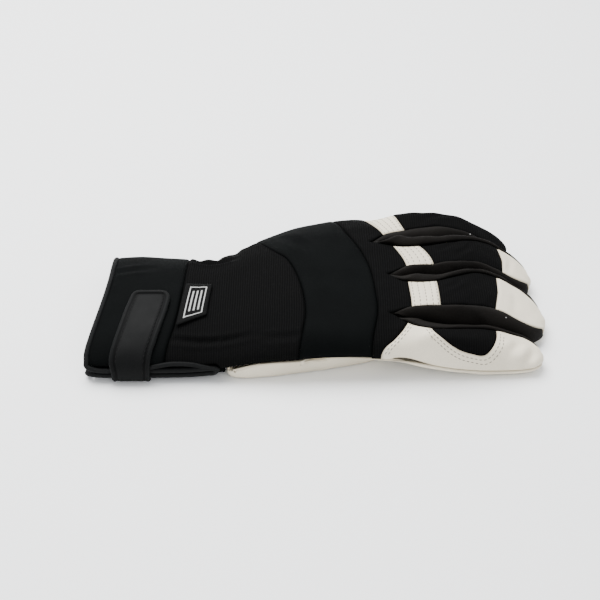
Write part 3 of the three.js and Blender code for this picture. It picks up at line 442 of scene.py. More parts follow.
def bay(x, grow=0.0):
    """Depth of the palm's bay where the thumb opens."""
    u = np.clip((x - THUMB_MOUTH) / (THUMB_MOUTH_HALF + grow), -1, 1)
    return (THUMB_MOUTH_DEPTH + grow) * np.sqrt(1 - u * u)


def palm_rim(x, h):
    """Where the palm's rim lies across the hand, bay and all."""
    half = (h["far"] - h["near"]) / 2
    reach = half * under_reach(h["nearEdge"] - h["nearUnder"], slit_half(x) + PALM_LAP)
    return h["far"] - (half + reach) * (1 - bay(x, 3 * SEAM) / (2 * half))


def back_point(zone, x, q, trim=LAP):
    r, z = section(zone, x), ZONES[zone]
    inward = np.minimum(trim, (r["far"] - r["near"]) / 2)
    if z["outer"] != "near":
        r["near"] = r["near"] + np.where(x > z["nearPart"], inward, 0)
    if z["outer"] != "far":
        r["far"] = r["far"] - np.where(x > z["farPart"], inward, 0)
    y, out, rounded = across(zone, r, q)
    low = mix(r["seam"], r["mid"], np.where(rounded, 1, smooth((STRIP_END - r["shrink"]) / STRIP_FADE)))
    arch = r["crown"] - (r["crown"] - low) * rise(out, rounded, 2.2)
    share = smooth((x - parting(zone, q)) / BACK_BLEND)
    return np.stack(np.broadcast_arrays(x, y, mix(hand_back(x, y), arch, share)), -1)


def under_point(zone, x, q):
    r, h, z = section(zone, x), read(HAND, x), ZONES[zone]
    share = smooth((x - parting(zone, q)) / UNDER_BLEND)
    half, centre = (h["far"] - h["near"]) / 2, (h["far"] + h["near"]) / 2
    reach = {
        "near": centre - half * under_reach(h["nearEdge"] - h["nearUnder"], slit_half(x) + PALM_LAP),
        "far": centre + half * under_reach(h["farEdge"] - h["farUnder"], SEAM),
    }
    for side, inward in (("near", 1), ("far", -1)):
        if z["outer"] == side:
            r[side] = np.where(share < 1, mix(reach[side], r[side], share), r[side])
        else:
            shifted = mix(r[side], r[side + "Side"], 0.45) + inward * SEAM * 0.6
            r[side] = np.where(x > z[side + "Part"], shifted, r[side])
    y, out, rounded = across(zone, r, q)
    closed = np.where(rounded, 1, smooth((STRIP_END - r["shrink"]) / STRIP_FADE))
    low = mix(np.minimum(r["fold"], r["mid"] - 3 * SEAM), r["mid"] - np.where(rounded, 0.8, 3) * SEAM, closed)
    bowl = r["under"] + (low - r["under"]) * np.where(rounded, rise(out, True), out**4)
    inset = bay(x, 3 * SEAM)
    shifted = h["far"] - (h["far"] - y) * (h["far"] - h["near"] - inset) / (h["far"] - h["near"])
    drop = slit_half(x) + PALM_LAP + LEATHER_WALL * smooth(inset / LEATHER_WALL)
    rim = np.minimum(hand_under(x, shifted), h["nearEdge"] - drop)
    hand = np.where(shifted > centre, hand_under(x, shifted), rim)
    whole = share >= 1
    z_at = np.where(whole, bowl, mix(hand, bowl, share))
    return np.stack(np.broadcast_arrays(x, np.where(whole, y, shifted), rest(z_at)), -1)


def hand_ring(x, p, grow=0.0, gap=None):
    """Round the hand's section: p 0 to 1 over the back from near to far, 1 to 2 under it back again."""
    gap = slit_half(x) if gap is None else gap
    h = read(HAND, x)
    half, centre = (h["far"] - h["near"]) / 2 + grow, (h["near"] + h["far"]) / 2
    start = np.arccos(back_reach(h["crown"] - h["nearEdge"], gap + 1.5 * SEAM) ** (ROUNDNESS / 2))
    end = np.arccos(-under_reach(h["nearEdge"] - h["nearUnder"], gap + 2.8 * SEAM) ** 2)
    c = np.where(p <= 1, -np.cos(mix(start, math.pi, p)), np.cos(mix(0, end, p - 1)))
    y = centre + half * np.sign(c) * np.abs(c) ** np.where(p <= 1, 2 / ROUNDNESS, 0.5)
    z = np.where(p <= 1, hand_back(x, y, grow), rest(hand_under(x, y, grow)))
    return np.stack(np.broadcast_arrays(x, y, z), -1)


def ring_panel(left, right, rows, places):
    t, p = np.meshgrid(rows, places, indexing="ij")
    x = mix(0, 0.3 * LENGTH, t)
    for _ in range(4):
        y = hand_ring(x, p)[..., 1]
        x = mix(left(y, p), right(y, p), t)
    return hand_ring(x, p)


def settle(zone, q, place, x=KNUCKLE_LINE, tries=4):
    """Where on a finger a seam lies that is drawn across the hand, for places q round the finger."""
    x = np.broadcast_to(x, q.shape)
    for _ in range(tries):
        x = place(across(zone, section(zone, x), q)[0])
    return x


def zone_panel(zone, rows, places, left, right, point=back_point):
    t, q = np.meshgrid(rows, places, indexing="ij")
    return point(zone, settle(zone, q, lambda y: mix(left(y, q), right(y, q), t)), q)


def tip_of(zone):
    return lambda y, q: ZONES[zone]["tip"]


def cap_at(zone, trim):
    """The seam of a finger's leather tip, across the finger."""
    a, b, c = (v * LENGTH for v in CAP_SEAM[zone])
    return lambda y, q: np.where(q < 1, mix(a, b, q), mix(b, c, q - 1)) + trim


def oval_edge(x, shift):
    r = section("index", x)
    u = np.clip((x - OVAL_CENTRE) / (OVAL_HALF + shift), -1, 1)
    lean = (u - OVAL_LEAN) / np.where(u < OVAL_LEAN, 1 + OVAL_LEAN, 1 - OVAL_LEAN)
    edge = r["far"] - (r["far"] - OVAL_LOW) * np.sqrt(np.maximum(0, 1 - np.abs(lean) ** OVAL_ROUNDNESS))
    out = np.clip(((r["near"] + r["far"]) / 2 - edge) / ((r["far"] - r["near"]) / 2), -1, 1)
    q = np.where(out > 0, np.arccos(np.abs(out) ** (ROUNDNESS / 2)) * 2 / math.pi, 1 - out)
    return np.minimum(q - shift / (0.14 * SPREAD), 2)


def strip_point(zone, side, t, p):
    """A side strip: t from the crotch to the tip, p from its top edge round to its lower edge."""
    part, end = ZONES[zone][side + "Part"], ZONES[zone]["tip"] - 0.19 * TIP_ROUNDING
    x = mix(part - 3 * SEAM, end, t)
    xm = mix(part + 0.05 * LENGTH, end + 0.04 * TIP_ROUNDING, t)
    mid = section(zone, xm)
    outward = 1 if side == "far" else -1
    q = np.full(np.shape(x), 2.0 if side == "far" else 0.0)
    top, fold = back_point(zone, x, q), under_point(zone, x, q)
    opened = smooth(t * 25)
    y_top = top[..., 1] - outward * 2 * SEAM * opened
    y_fold = fold[..., 1] + outward * 2 * SEAM * opened
    z_top, z_fold = top[..., 2] - 1.5 * SEAM, fold[..., 2] + 2 * SEAM
    y_mid = mid[side + "Side"] + outward * 1.2 * SEAM * opened
    c, s = np.cos(p * math.pi), np.sin(p * math.pi)
    centre_y, centre_z = (y_top + y_fold) / 2, (z_top + z_fold) / 2
    fill = PUFF[side] * (1.5 if zone == "index" else 1)
    puff = np.where(p < 0.5, fill * (z_top - z_fold) * smooth(t * 8) * np.sin(2 * p * math.pi), 0)
    y = centre_y + (y_top - y_fold) / 2 * c + (y_mid - centre_y) * s
    z = centre_z + (z_top - z_fold) / 2 * c + (mid["mid"] - centre_z) * s + puff
    return np.stack([mix(x, xm, s), y, z], -1)


def thumb_axis(x):
    return THUMB_SIDE + THUMB_LEAN * (x - THUMB_MOUTH) / (THUMB_TIP - THUMB_MOUTH)


def thumb_point(turn, r):
    """The thumb's bag: r 0 at its mouth, 1 at its widest, 2 at the middle of its underside."""
    c, s = np.cos(turn * 2 * math.pi), np.sin(turn * 2 * math.pi)
    middle, long = (THUMB_ROOT + THUMB_TIP) / 2, (THUMB_TIP - THUMB_ROOT) / 2
    out_x = middle + long * np.sign(c) * np.abs(c) ** np.where(c < 0, 0.6, 1)
    out_y = thumb_axis(out_x) + THUMB_HALF * np.sign(s) * np.abs(s) ** np.where(s < 0, 0.35, 0.75)
    mid, d = THUMB_LOFT / 2, 2 - r
    line_x = middle + (long - THUMB_HALF) * np.clip(1.12 * c, -1, 1)
    low_z = mid - mid * (1 - np.clip(d, 0, 1) ** 4) ** 0.25
    low = [mix(line_x, out_x, d), mix(thumb_axis(line_x), out_y, d), rest(np.maximum(0, low_z))]
    in_bay = smooth(4 * s)
    rim_x = THUMB_MOUTH + (THUMB_MOUTH_HALF + SEAM * (4 * in_bay - 1)) * c
    h = read(HAND, rim_x)
    rim_y = mix(h["near"] + SEAM + MOUTH_EASE * np.minimum(1, 1 + s), palm_rim(rim_x, h) + SEAM, in_bay)
    rim_z = np.minimum(np.where(s > 0, hand_under(rim_x, rim_y), LOFT), h["nearEdge"]) - (3 + in_bay) * SEAM
    x, y = mix(rim_x, out_x, r), mix(rim_y, out_y, r)
    shelf = mix(rim_z, np.minimum(THUMB_LOFT, rim_z), smooth(r * 4))
    z = mid + (shelf - mid) * (1 - np.clip(r, 0, 1) ** 3) ** (1 / 2.2)
    z = np.minimum(z, hand_under(x, np.maximum(y, read(HAND, x)["near"] + 0.3 * THUMB_LOFT)) - 3 * SEAM)
    return np.stack([np.where(r > 1, a, b) for a, b in zip(low, (x, y, z))], -1)


def strap_point(i, w, out=0.5 + STRAP_WALL):
    """The strap's outer face: i counts its rows, and w runs 0 to 1 along the glove."""
    row = read(STRAP, i / (len(STRAP_REACH) - 1) * LENGTH)
    x = mix(row["left"], row["right"], w)
    h = read(HAND, x)
    reach = np.interp(i, np.arange(len(STRAP_REACH)), STRAP_REACH)
    y = (h["near"] + h["far"]) / 2 - ((h["far"] - h["near"]) / 2 + out) * reach
    z = np.where(i >= STRAP_TURN, hand_back(x, y, out), np.maximum(0, hand_under(x, y, out)))
    return np.stack(np.broadcast_arrays(x, y, z), -1)


def label_point(u, v, out=2.5 * SEAM + LABEL_WALL):
    x = LENGTH * mix(mix(*LABEL["left"], v), mix(*LABEL["right"], v), u)
    y = SPREAD * mix(mix(*LABEL["low"], u), LABEL["high"], v)
    return np.stack([x, y, hand_back(x, y) + out], -1)


# Cloth: welded grids with a wall, rolled edges and creases
def ripple(p, size, seed=0.0):
    """A gentle unevenness about one high, with no repeat that shows."""
    total = np.zeros(p.shape[:-1])
    for k in range(7):
        a, b = 2.4 * k + seed, 1.7 * k + 0.6 * seed
        way = np.array([math.cos(a) * math.cos(b), math.sin(a) * math.cos(b), math.sin(b)]) / size
        total += np.sin(p @ way * (1 + 0.23 * k) * 2 * math.pi + 1.9 * k + seed) / 3.5
    return total


def creases(p, rows):
    """Sum of creases: each a bent line on the plan, with its depth, its width and its far lip."""
    total = np.zeros(len(p))
    s = np.linspace(0, 1, 40)
    for x0, y0, x1, y1, x2, y2, depth, width in rows:
        line = np.stack([(1 - s) ** 2 * a + 2 * s * (1 - s) * b + s * s * c
                         for a, b, c in ((x0, x1, x2), (y0, y1, y2))], -1)
        reach = 4 * width
        low, high = line.min(0) - reach, line.max(0) + reach
        inside = np.all((p[:, :2] > low) & (p[:, :2] < high), 1)
        if not inside.any():
            continue
        gap = np.linalg.norm(p[inside, None, :2] - line[None], axis=2)
        at = gap.argmin(1)
        d = gap.min(1) / width
        ends = np.sin(math.pi * np.clip(s[at], 0.02, 0.98)) ** 0.7
        total[inside] += ends * depth * (0.45 * np.exp(-((d - 1.7) / 0.8) ** 2) - np.exp(-d * d))
    return total


def to_metres(points):
    return (np.asarray(points) - ORIGIN) * 0.001


def corner_normals(points, faces):
    full = np.array([f if len(f) == 4 else f + f[-1:] for f in faces])
    p = points[full]
    face_normals = np.cross(p[:, 2] - p[:, 0], p[:, 3] - p[:, 1])
    normals = np.zeros_like(points)
    for k in range(4):
        np.add.at(normals, full[:, k], face_normals)
    return normals / np.maximum(np.linalg.norm(normals, axis=1, keepdims=True), 1e-12)


def open_edges(faces):
    known = dict.fromkeys(pair for f in faces for pair in zip(f, f[1:] + f[:1]))
    return [(a, b) for a, b in known if (b, a) not in known]


def gap_to(edges, points):
    """How far each point lies from the nearest open edge."""
    if not edges:
        return np.full(len(points), FAR_OFF)
    ends = points[np.array(edges)]
    samples = np.concatenate([mix(ends[:, 0], ends[:, 1], t) for t in (0, 0.25, 0.5, 0.75)])
    tree = KDTree(len(samples))
    for i, s in enumerate(samples):
        tree.insert(s, i)
    tree.balance()
    return np.array([tree.find(q)[2] for q in points])


def smooth_mesh(name, verts, faces):
    mesh = bpy.data.meshes.new(name)
    mesh.from_pydata(verts, [], faces)
    mesh.polygons.foreach_set("use_smooth", [True] * len(mesh.polygons))
    mesh.update()
    return mesh


class Skin:
    """Grids of corners in millimetres that weld where they meet, and the closed wall made from them."""

    def __init__(self):
        self.points, self.uvs, self.quads, self.count = [], [], [], 0

    def grid(self, points, u=None, v=None):
        n, m = points.shape[:2]
        if u is None:
            u = points[..., 0]
        if v is None:
            step = np.linalg.norm(np.diff(points[..., 1:], axis=1), axis=2)
            v = np.concatenate([np.zeros((n, 1)), np.cumsum(step, 1)], 1)
        i = np.arange(n * m).reshape(n, m) + self.count
        self.quads.append(np.stack([i[:-1, :-1], i[1:, :-1], i[1:, 1:], i[:-1, 1:]], -1).reshape(-1, 4))
        self.points.append(points.reshape(-1, 3))
        self.uvs.append(np.stack([u, v], -1).reshape(-1, 2))
        self.count += n * m
        return self

    def weld(self):
        raw, uvs, quads = np.concatenate(self.points), np.concatenate(self.uvs), np.concatenate(self.quads)
        _, first, back = np.unique(np.round(raw * WELDS_PER_MM), axis=0, return_index=True, return_inverse=True)
        back = back.reshape(-1)
        faces, corners = [], []
        for quad, welded in zip(quads.tolist(), back[quads].tolist()):
            kept = [k for k in range(4) if welded[k] != welded[k - 1]]
            if len(kept) > 2 and len({welded[k] for k in kept}) == len(kept):
                faces.append([welded[k] for k in kept])
                corners.append([quad[k] for k in kept])
        return raw[first], faces, uvs, corners

    def build(self, name, look, wall, roll=(0.0, 1.0), field=None, rim_field=None):
        points, faces, uvs, corners = self.weld()
        normals, rim = corner_normals(points, faces), open_edges(faces)
        gap = gap_to(rim, points)
        depth, width = roll
        near = np.clip(1 - gap / width, 0, 1)
        lift = -depth * (1 - np.sqrt(1 - near * near))
        if field is not None:
            lift = lift + field(points) * smooth(gap / EVEN_EDGE)
        if rim_field is not None:
            lift = lift + rim_field(gap)
        verts = points + normals * lift[:, None]
        on_floor = points[:, 2] < TOUCH
        verts[:, 2] = np.maximum(verts[:, 2], np.where(on_floor, 0.0, 0.4 * TOUCH))
        n = len(points)
        sides = [list(f) for f in faces]
        loops = [uvs[c] for c in corners]
        if wall:
            verts = np.concatenate([verts, points - normals * wall])
            verts[:, 2] = np.maximum(verts[:, 2], 0)
            gap = np.concatenate([gap, gap])
            sides += [[v + n for v in reversed(f)] for f in faces]
            loops += [uvs[c[::-1]] for c in corners]
            where = dict(zip((v for f in faces for v in f), (uv for c in corners for uv in uvs[c])))
            for a, b in rim:
                sides.append([b, a, a + n, b + n])
                loops.append(np.array([where[b], where[a], where[a], where[b]]))
        mesh = smooth_mesh(name, to_metres(verts).tolist(), sides)
        layer = mesh.uv_layers.new(name="UVMap")
        layer.data.foreach_set("uv", (np.concatenate(loops) / MAP_MM).astype(np.float32).ravel())
        edge = mesh.attributes.new("rim_mm", "FLOAT", "POINT")
        edge.data.foreach_set("value", np.minimum(gap, RIM_CAP).astype(np.float32))
        return finish_piece(name, mesh, look)


def finish_piece(name, mesh, look):
    piece = bpy.data.objects.new(name, mesh)
    bpy.context.scene.collection.objects.link(piece)
    mesh.materials.append(LOOKS[look]())
    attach(piece, "root")
    return piece


def tube(name, line, radius, look, sides=12):
    """A round cord along a closed line."""
    n = len(line)
    along = np.roll(line, -1, 0) - np.roll(line, 1, 0)
    along /= np.linalg.norm(along, axis=1, keepdims=True)
    normal = np.cross(along, [0, 0, 1.0])
    weak = np.linalg.norm(normal, axis=1) < 0.2
    normal[weak] = np.cross(along[weak], [0, 1.0, 0])
    normal /= np.linalg.norm(normal, axis=1, keepdims=True)
    for i in range(1, n):
        if np.dot(normal[i], normal[i - 1]) < 0:
            normal[i] *= -1
    other = np.cross(along, normal)
    turns = np.arange(sides) / sides * 2 * math.pi
    ring = normal[:, None] * np.cos(turns)[None, :, None] + other[:, None] * np.sin(turns)[None, :, None]
    points = np.pad(line[:, None] + ring * radius, ((0, 1), (0, 1), (0, 0)), mode="wrap")
    u, v = np.meshgrid(evenly(0, 1.1 * n, n), evenly(0, 2 * math.pi * radius, sides), indexing="ij")
    return Skin().grid(points, u, v).build(name, look, 0)


def toward_tip(n, share=0.3, m=14):
    """Rows for a panel that ends in a rounded tip, close together at its end."""
    even = np.linspace(0, 1 - share, n, endpoint=False)
    return np.concatenate([even, 1 - share * (1 - np.linspace(0, 1, m)) ** 2.3])


# Finishes: each is made once, and shared by every piece that has it
VALUE, VECTOR = "NodeSocketFloat", "NodeSocketVector"


class Graph:
    """A node tree and short ways to fill it."""

    def __init__(self, tree):
        self.tree = tree

    def node(self, kind, inputs=None, **settings):
        n = self.tree.nodes.new(kind)
        for key, value in settings.items():
            setattr(n, key, value)
        for key, value in (inputs or {}).items():
            if isinstance(value, bpy.types.NodeSocket):
                self.tree.links.new(value, n.inputs[key])
            else:
                n.inputs[key].default_value = value
        return n

    def place(self):
        return self.node("ShaderNodeTexCoord").outputs["Object"]

    def rim(self):
        """How far the surface lies from the piece's edge, in millimetres."""
        return self.node("ShaderNodeAttribute", attribute_name="rim_mm").outputs["Fac"]

    def math(self, operation, a, b=0.0, c=0.0):
        return self.node("ShaderNodeMath", {0: a, 1: b, 2: c}, operation=operation).outputs[0]

    def ramp(self, value, low, high, to_low=0.0, to_high=1.0):
        return self.node("ShaderNodeMapRange", {0: value, 1: low, 2: high, 3: to_low, 4: to_high},
                         interpolation_type="SMOOTHSTEP").outputs[0]

    def times(self, a, b):
        return self.math("MULTIPLY", a, b)

    def tint(self, share, a, b):
        return self.node("ShaderNodeMix", {0: share, 6: a, 7: b}, data_type="RGBA").outputs[2]

    def fade(self, value, low, high, a, b):
        """Colour a where the value is low, and b where it is high."""
        return self.tint(self.ramp(value, low, high), a, b)

    def noise(self, vector, scale, detail=3.0, rough=0.55):
        return self.node("ShaderNodeTexNoise", {"Vector": vector, "Scale": scale, "Detail": detail,
                                                "Roughness": rough}).outputs[0]


def group(name, takes, gives, fill):
    """A shader node group, built once: it takes (name, kind, default), and gives values by name."""
    found = bpy.data.node_groups.get(name)
    if found:
        return found
    tree = bpy.data.node_groups.new(name, "ShaderNodeTree")
    for title, kind, default in takes:
        socket = tree.interface.new_socket(title, in_out="INPUT", socket_type=kind)
        if default is not None:
            socket.default_value = default
    for title in gives:
        tree.interface.new_socket(title, in_out="OUTPUT", socket_type=VALUE)
    g = Graph(tree)
    start, end = tree.nodes.new("NodeGroupInput"), tree.nodes.new("NodeGroupOutput")
    for title, socket in fill(g, start.outputs).items():
        tree.links.new(socket, end.inputs[title])
    return tree


def ribbed_knit():
    def fill(g, take):
        at = g.node("ShaderNodeSeparateXYZ", {0: take["Surface"]}).outputs
        drift = g.times(g.noise(take["Surface"], 9.0, 2.0), 0.9)
        u = g.math("DIVIDE", g.math("ADD", g.times(at[0], MAP_MM), drift), take["Rib pitch"])
        rib = g.ramp(g.math("SINE", g.times(u, 2 * math.pi)), -1.0, 1.0)
        v = g.math("DIVIDE", g.times(at[1], MAP_MM), take["Loop length"])
        loop = g.math("SINE", g.times(v, 2 * math.pi))
        height = g.math("MULTIPLY_ADD", loop, 0.18, g.times(rib, 0.8))
        slub = g.noise(take["Surface"], 55.0, 4.0, 0.7)
        return {"Height": g.math("MULTIPLY_ADD", slub, 0.35, height), "Ridge": rib, "Slub": slub}
    takes = [("Surface", VECTOR, None), ("Rib pitch", VALUE, 1.2), ("Loop length", VALUE, 0.9)]
    return group("Ribbed knit", takes, ("Height", "Ridge", "Slub"), fill)


def soft_weave():
    def fill(g, take):
        at = g.node("ShaderNodeSeparateXYZ", {0: take["Surface"]}).outputs
        turns = [g.math("DIVIDE", a, take["Thread"]) for a in at[:2]]
        weave = g.times(*[g.math("SINE", g.times(a, 2 * MAP_MM * math.pi)) for a in turns])
        fuzz = g.noise(take["Surface"], 130.0, 4.0, 0.75)
        cloud = g.noise(take["Surface"], 4.0, 3.0)
        return {"Height": g.math("MULTIPLY_ADD", weave, 0.3, fuzz), "Fuzz": fuzz, "Cloud": cloud}
    takes = [("Surface", VECTOR, None), ("Thread", VALUE, 0.5)]
    return group("Soft weave", takes, ("Height", "Fuzz", "Cloud"), fill)


def leather_grain():
    def fill(g, take):
        where = g.place()
        cells = g.node("ShaderNodeTexVoronoi", {"Vector": where, "Scale": take["Cells per metre"]},
                       feature="DISTANCE_TO_EDGE").outputs["Distance"]
        pebble = g.ramp(cells, 0.0, 0.28)
        fine = g.noise(where, 2600.0, 3.0, 0.6)
        tone = g.noise(where, 24.0, 4.0, 0.6)
        soft = g.noise(where, 90.0, 3.0, 0.5)
        height = g.math("ADD", g.times(pebble, 0.55), g.times(fine, 0.35))
        return {"Height": g.math("MULTIPLY_ADD", soft, 0.9, height), "Pebble": pebble, "Tone": tone}
    return group("Leather grain", [("Cells per metre", VALUE, 1500.0)], ("Height", "Pebble", "Tone"), fill)


def seam_edge():
    def fill(g, take):
        return {"Mask": g.ramp(g.rim(), 0.0, take["Width"], 1.0, 0.0)}
    return group("Seam edge", [("Width", VALUE, 2.0)], ("Mask",), fill)


# A mask for painted shade in a channel a set way in from the piece's edge.
def channel_shade_mask():
    def fill(g, take):
        off = g.math("ABSOLUTE", g.math("SUBTRACT", g.rim(), take["Inset"]))
        return {"Mask": g.ramp(off, 0.0, take["Half width"], 1.0, 0.0)}
    return group("Channel shade", [("Inset", VALUE, 2.6), ("Half width", VALUE, 0.7)], ("Mask",), fill)


def lint():
    def fill(g, take):
        where = g.place()
        specks = g.node("ShaderNodeTexVoronoi", {"Vector": where, "Scale": take["Cells per metre"]})
        near = g.ramp(specks.outputs["Distance"], take["Size"], g.times(take["Size"], 0.6))
        pick = g.node("ShaderNodeSeparateColor", {0: specks.outputs["Color"]}).outputs[0]
        return {"Mask": g.times(near, g.math("LESS_THAN", pick, take["Share"]))}
    takes = [("Cells per metre", VALUE, 170.0), ("Size", VALUE, 0.06), ("Share", VALUE, 0.12)]
    return group("Lint", takes, ("Mask",), fill)


class Finish(Graph):
    """A material with its Principled shader, ready for its own nodes."""

    def __init__(self, name, roughness, specular=0.5):
        self.material = bpy.data.materials.new(name)
        self.material.use_nodes = True
        super().__init__(self.material.node_tree)
        self.tree.nodes.clear()
        self.shader = self.node("ShaderNodeBsdfPrincipled", {
            "Roughness": roughness, "Specular IOR Level": specular})
        self.tree.links.new(self.shader.outputs[0], self.node("ShaderNodeOutputMaterial").inputs[0])
        self.surface = self.node("ShaderNodeUVMap", uv_map="UVMap").outputs[0]

    def group(self, tree, **inputs):
        n = self.node("ShaderNodeGroup", node_tree=tree)
        for key, value in inputs.items():
            socket = n.inputs[key.replace("_", " ")]
            if isinstance(value, bpy.types.NodeSocket):
                self.tree.links.new(value, socket)
            else:
                socket.default_value = value
        return n.outputs

    def painted_seam_shading(self, base, width, share, tone):
        """Painted shading along the piece's edges: the base colour turned to the given tone, darker for shade in
        the seams, lighter for a highlight.
        """
        mask = self.group(seam_edge(), Width=width)["Mask"]
        return self.tint(self.times(mask, share), base, tone)

    def colour(self, socket):
        self.tree.links.new(socket, self.shader.inputs["Base Color"])

    def rough(self, socket):
        self.tree.links.new(socket, self.shader.inputs["Roughness"])

    def bump(self, height, depth_mm, strength=1.0):
        n = self.node("ShaderNodeBump", {"Strength": strength, "Distance": depth_mm * 0.001, "Height": height})
        self.tree.links.new(n.outputs[0], self.shader.inputs["Normal"])


def rgba(colour, gain=1.0):
    return (*[min(1.0, c * gain) for c in colour[:3]], 1.0)


LINT_GREY, LABEL_WHITE = (0.42, 0.42, 0.4, 1.0), (0.34, 0.34, 0.33, 1.0)


@functools.cache
def neoprene():
    c = bpy.context.scene.glove_colours.neoprene
    f = Finish("Neoprene", 0.8, specular=0.02)
    weave = f.group(soft_weave(), Surface=f.surface, Thread=0.55)
    base = f.fade(weave["Cloud"], 0.3, 0.7, rgba(c, 0.8), rgba(c, 1.3))
    base = f.fade(weave["Fuzz"], 0.35, 0.75, base, rgba(c, 1.5))
    # Painted shade: the neoprene turns darker towards its seams.
    f.colour(f.painted_seam_shading(base, 2.4, 0.6, rgba(c, 0.45)))
    f.rough(f.ramp(weave["Fuzz"], 0.2, 0.8, 0.6, 0.8))
    f.bump(weave["Height"], 0.07)
    return f.material


@functools.cache
def knit():
    c, pitch = bpy.context.scene.glove_colours.knit, bpy.context.scene.glove_cloth.rib_pitch
    f = Finish("Ribbed knit", 0.95, specular=0.02)
    rib = f.group(ribbed_knit(), Surface=f.surface, Rib_pitch=pitch * 1000.0, Loop_length=0.8)
    base = f.tint(rib["Ridge"], rgba(c, 0.8), rgba(c, 1.15))
    base = f.fade(rib["Slub"], 0.5, 0.85, base, rgba(c, 1.7))
    # Painted shade: the knit turns darker towards its seams.
    f.colour(f.painted_seam_shading(base, 1.8, 0.5, rgba(c, 0.4)))
    f.rough(f.ramp(rib["Ridge"], 0.0, 1.0, 0.95, 0.8))
    f.bump(rib["Height"], 0.09)
    return f.material


@functools.cache
def stretch():
    c = bpy.context.scene.glove_colours.stretch
    f = Finish("Stretch cloth", 0.65, specular=0.07)
    weave = f.group(soft_weave(), Surface=f.surface, Thread=0.35)
    specks = f.group(lint(), Share=0.16, Size=0.08)["Mask"]
    base = f.fade(weave["Cloud"], 0.3, 0.7, rgba(c, 0.75), rgba(c, 1.3))
    base = f.fade(weave["Fuzz"], 0.5, 0.8, base, rgba(c, 1.7))
    # Painted shade: the stretch cloth turns darker towards its seams; the lint specks are its own colour.
    f.colour(f.tint(specks, f.painted_seam_shading(base, 1.6, 0.7, rgba(c, 0.4)), LINT_GREY))
    f.rough(f.ramp(weave["Fuzz"], 0.2, 0.8, 0.55, 0.75))
    f.bump(weave["Height"], 0.06)
    return f.material


@functools.cache
def leather():
    c = bpy.context.scene.glove_colours.leather
    f = Finish("Off-white leather", 0.55, specular=0.35)
    grain = f.group(leather_grain(), Cells_per_metre=1500.0)
    base = f.fade(grain["Tone"], 0.3, 0.72, rgba(c, 0.9), rgba(c, 1.04))
    base = f.tint(f.times(f.math("SUBTRACT", 1.0, grain["Pebble"]), 0.25), base, rgba(c, 0.7))
    # Painted shade: the leather turns darker and warmer towards its seams.
    f.colour(f.painted_seam_shading(base, 1.2, 0.55, rgba([c[0] * 0.62, c[1] * 0.58, c[2] * 0.52])))
    f.rough(f.ramp(grain["Pebble"], 0.0, 1.0, 0.72, 0.5))
    f.bump(grain["Height"], 0.07)
    return f.material


@functools.cache
def rubber():
    c = bpy.context.scene.glove_colours.rubber
    f = Finish("Moulded rubber", 0.65, specular=0.05)
    where = f.place()
    grain = f.noise(where, 2200.0, 3.0, 0.6)
    smudge = f.noise(where, 60.0, 4.0, 0.6)
    # Painted shade: darker in the sewn channel along the strap's border.
    groove_shade = f.group(channel_shade_mask(), Inset=2.7, Half_width=0.9)["Mask"]
    base = f.fade(smudge, 0.35, 0.7, rgba(c, 0.85), rgba(c, 1.2))
    base = f.tint(f.times(groove_shade, 0.85), base, rgba(c, 0.2))
    # Painted highlight: the black rubber turns lighter along the strap's edges.
    f.colour(f.painted_seam_shading(base, 1.0, 0.6, rgba(c, 2.2)))
    f.rough(f.ramp(smudge, 0.3, 0.7, 0.52, 0.68))
    f.bump(grain, 0.04)
    return f.material


@functools.cache
def tape():
    c = bpy.context.scene.glove_colours.rubber
    f = Finish("Binding tape", 0.75, specular=0.08)
    weave = f.group(soft_weave(), Surface=f.surface, Thread=0.4)
    f.colour(f.fade(weave["Fuzz"], 0.3, 0.75, rgba(c, 0.9), rgba(c, 2.0)))
    f.bump(weave["Height"], 0.08)
    return f.material


def thread(name, colour):
    f = Finish(name, 0.6, specular=0.1)
    twist = f.node("ShaderNodeTexWave", {"Vector": f.place(), "Scale": 1500.0, "Distortion": 1.0},
                   bands_direction="DIAGONAL").outputs["Fac"]
    f.colour(f.tint(twist, rgba(colour, 0.7), rgba(colour, 1.1)))
    f.bump(twist, 0.05)
    return f.material


@functools.cache
def pale_thread():
    return thread("Pale thread", bpy.context.scene.glove_colours.pale_thread)


@functools.cache
def black_thread():
    return thread("Black thread", bpy.context.scene.glove_colours.black_thread)


@functools.cache
def label_cloth():
    c = bpy.context.scene.glove_colours.knit
    f = Finish("Woven label", 0.7, specular=0.04)
    at = f.node("ShaderNodeSeparateXYZ", {0: f.surface}).outputs
    weave = f.group(soft_weave(), Surface=f.surface, Thread=1.4)

    def box(x0, x1, y0, y1):
        wide = f.times(f.math("GREATER_THAN", at[0], x0), f.math("LESS_THAN", at[0], x1))
        return f.times(wide, f.times(f.math("GREATER_THAN", at[1], y0), f.math("LESS_THAN", at[1], y1)))

    marks = f.math("SUBTRACT", box(0.2, 0.84, 0.1, 0.9), box(0.245, 0.795, 0.125, 0.875))
    for left, right in ((0.34, 0.4), (0.49, 0.55), (0.64, 0.7)):
        marks = f.math("ADD", marks, box(left, right, 0.22, 0.78))
    base = f.fade(weave["Fuzz"], 0.3, 0.8, rgba(c, 0.8), rgba(c, 1.8))
    f.colour(f.tint(f.times(marks, f.ramp(weave["Fuzz"], 0.2, 0.45)), base, LABEL_WHITE))
    f.bump(weave["Height"], 0.06)
    return f.material


LOOKS = {"neoprene": neoprene, "knit": knit, "stretch": stretch, "leather": leather, "rubber": rubber,
         "tape": tape, "pale_thread": pale_thread, "black_thread": black_thread, "label": label_cloth}


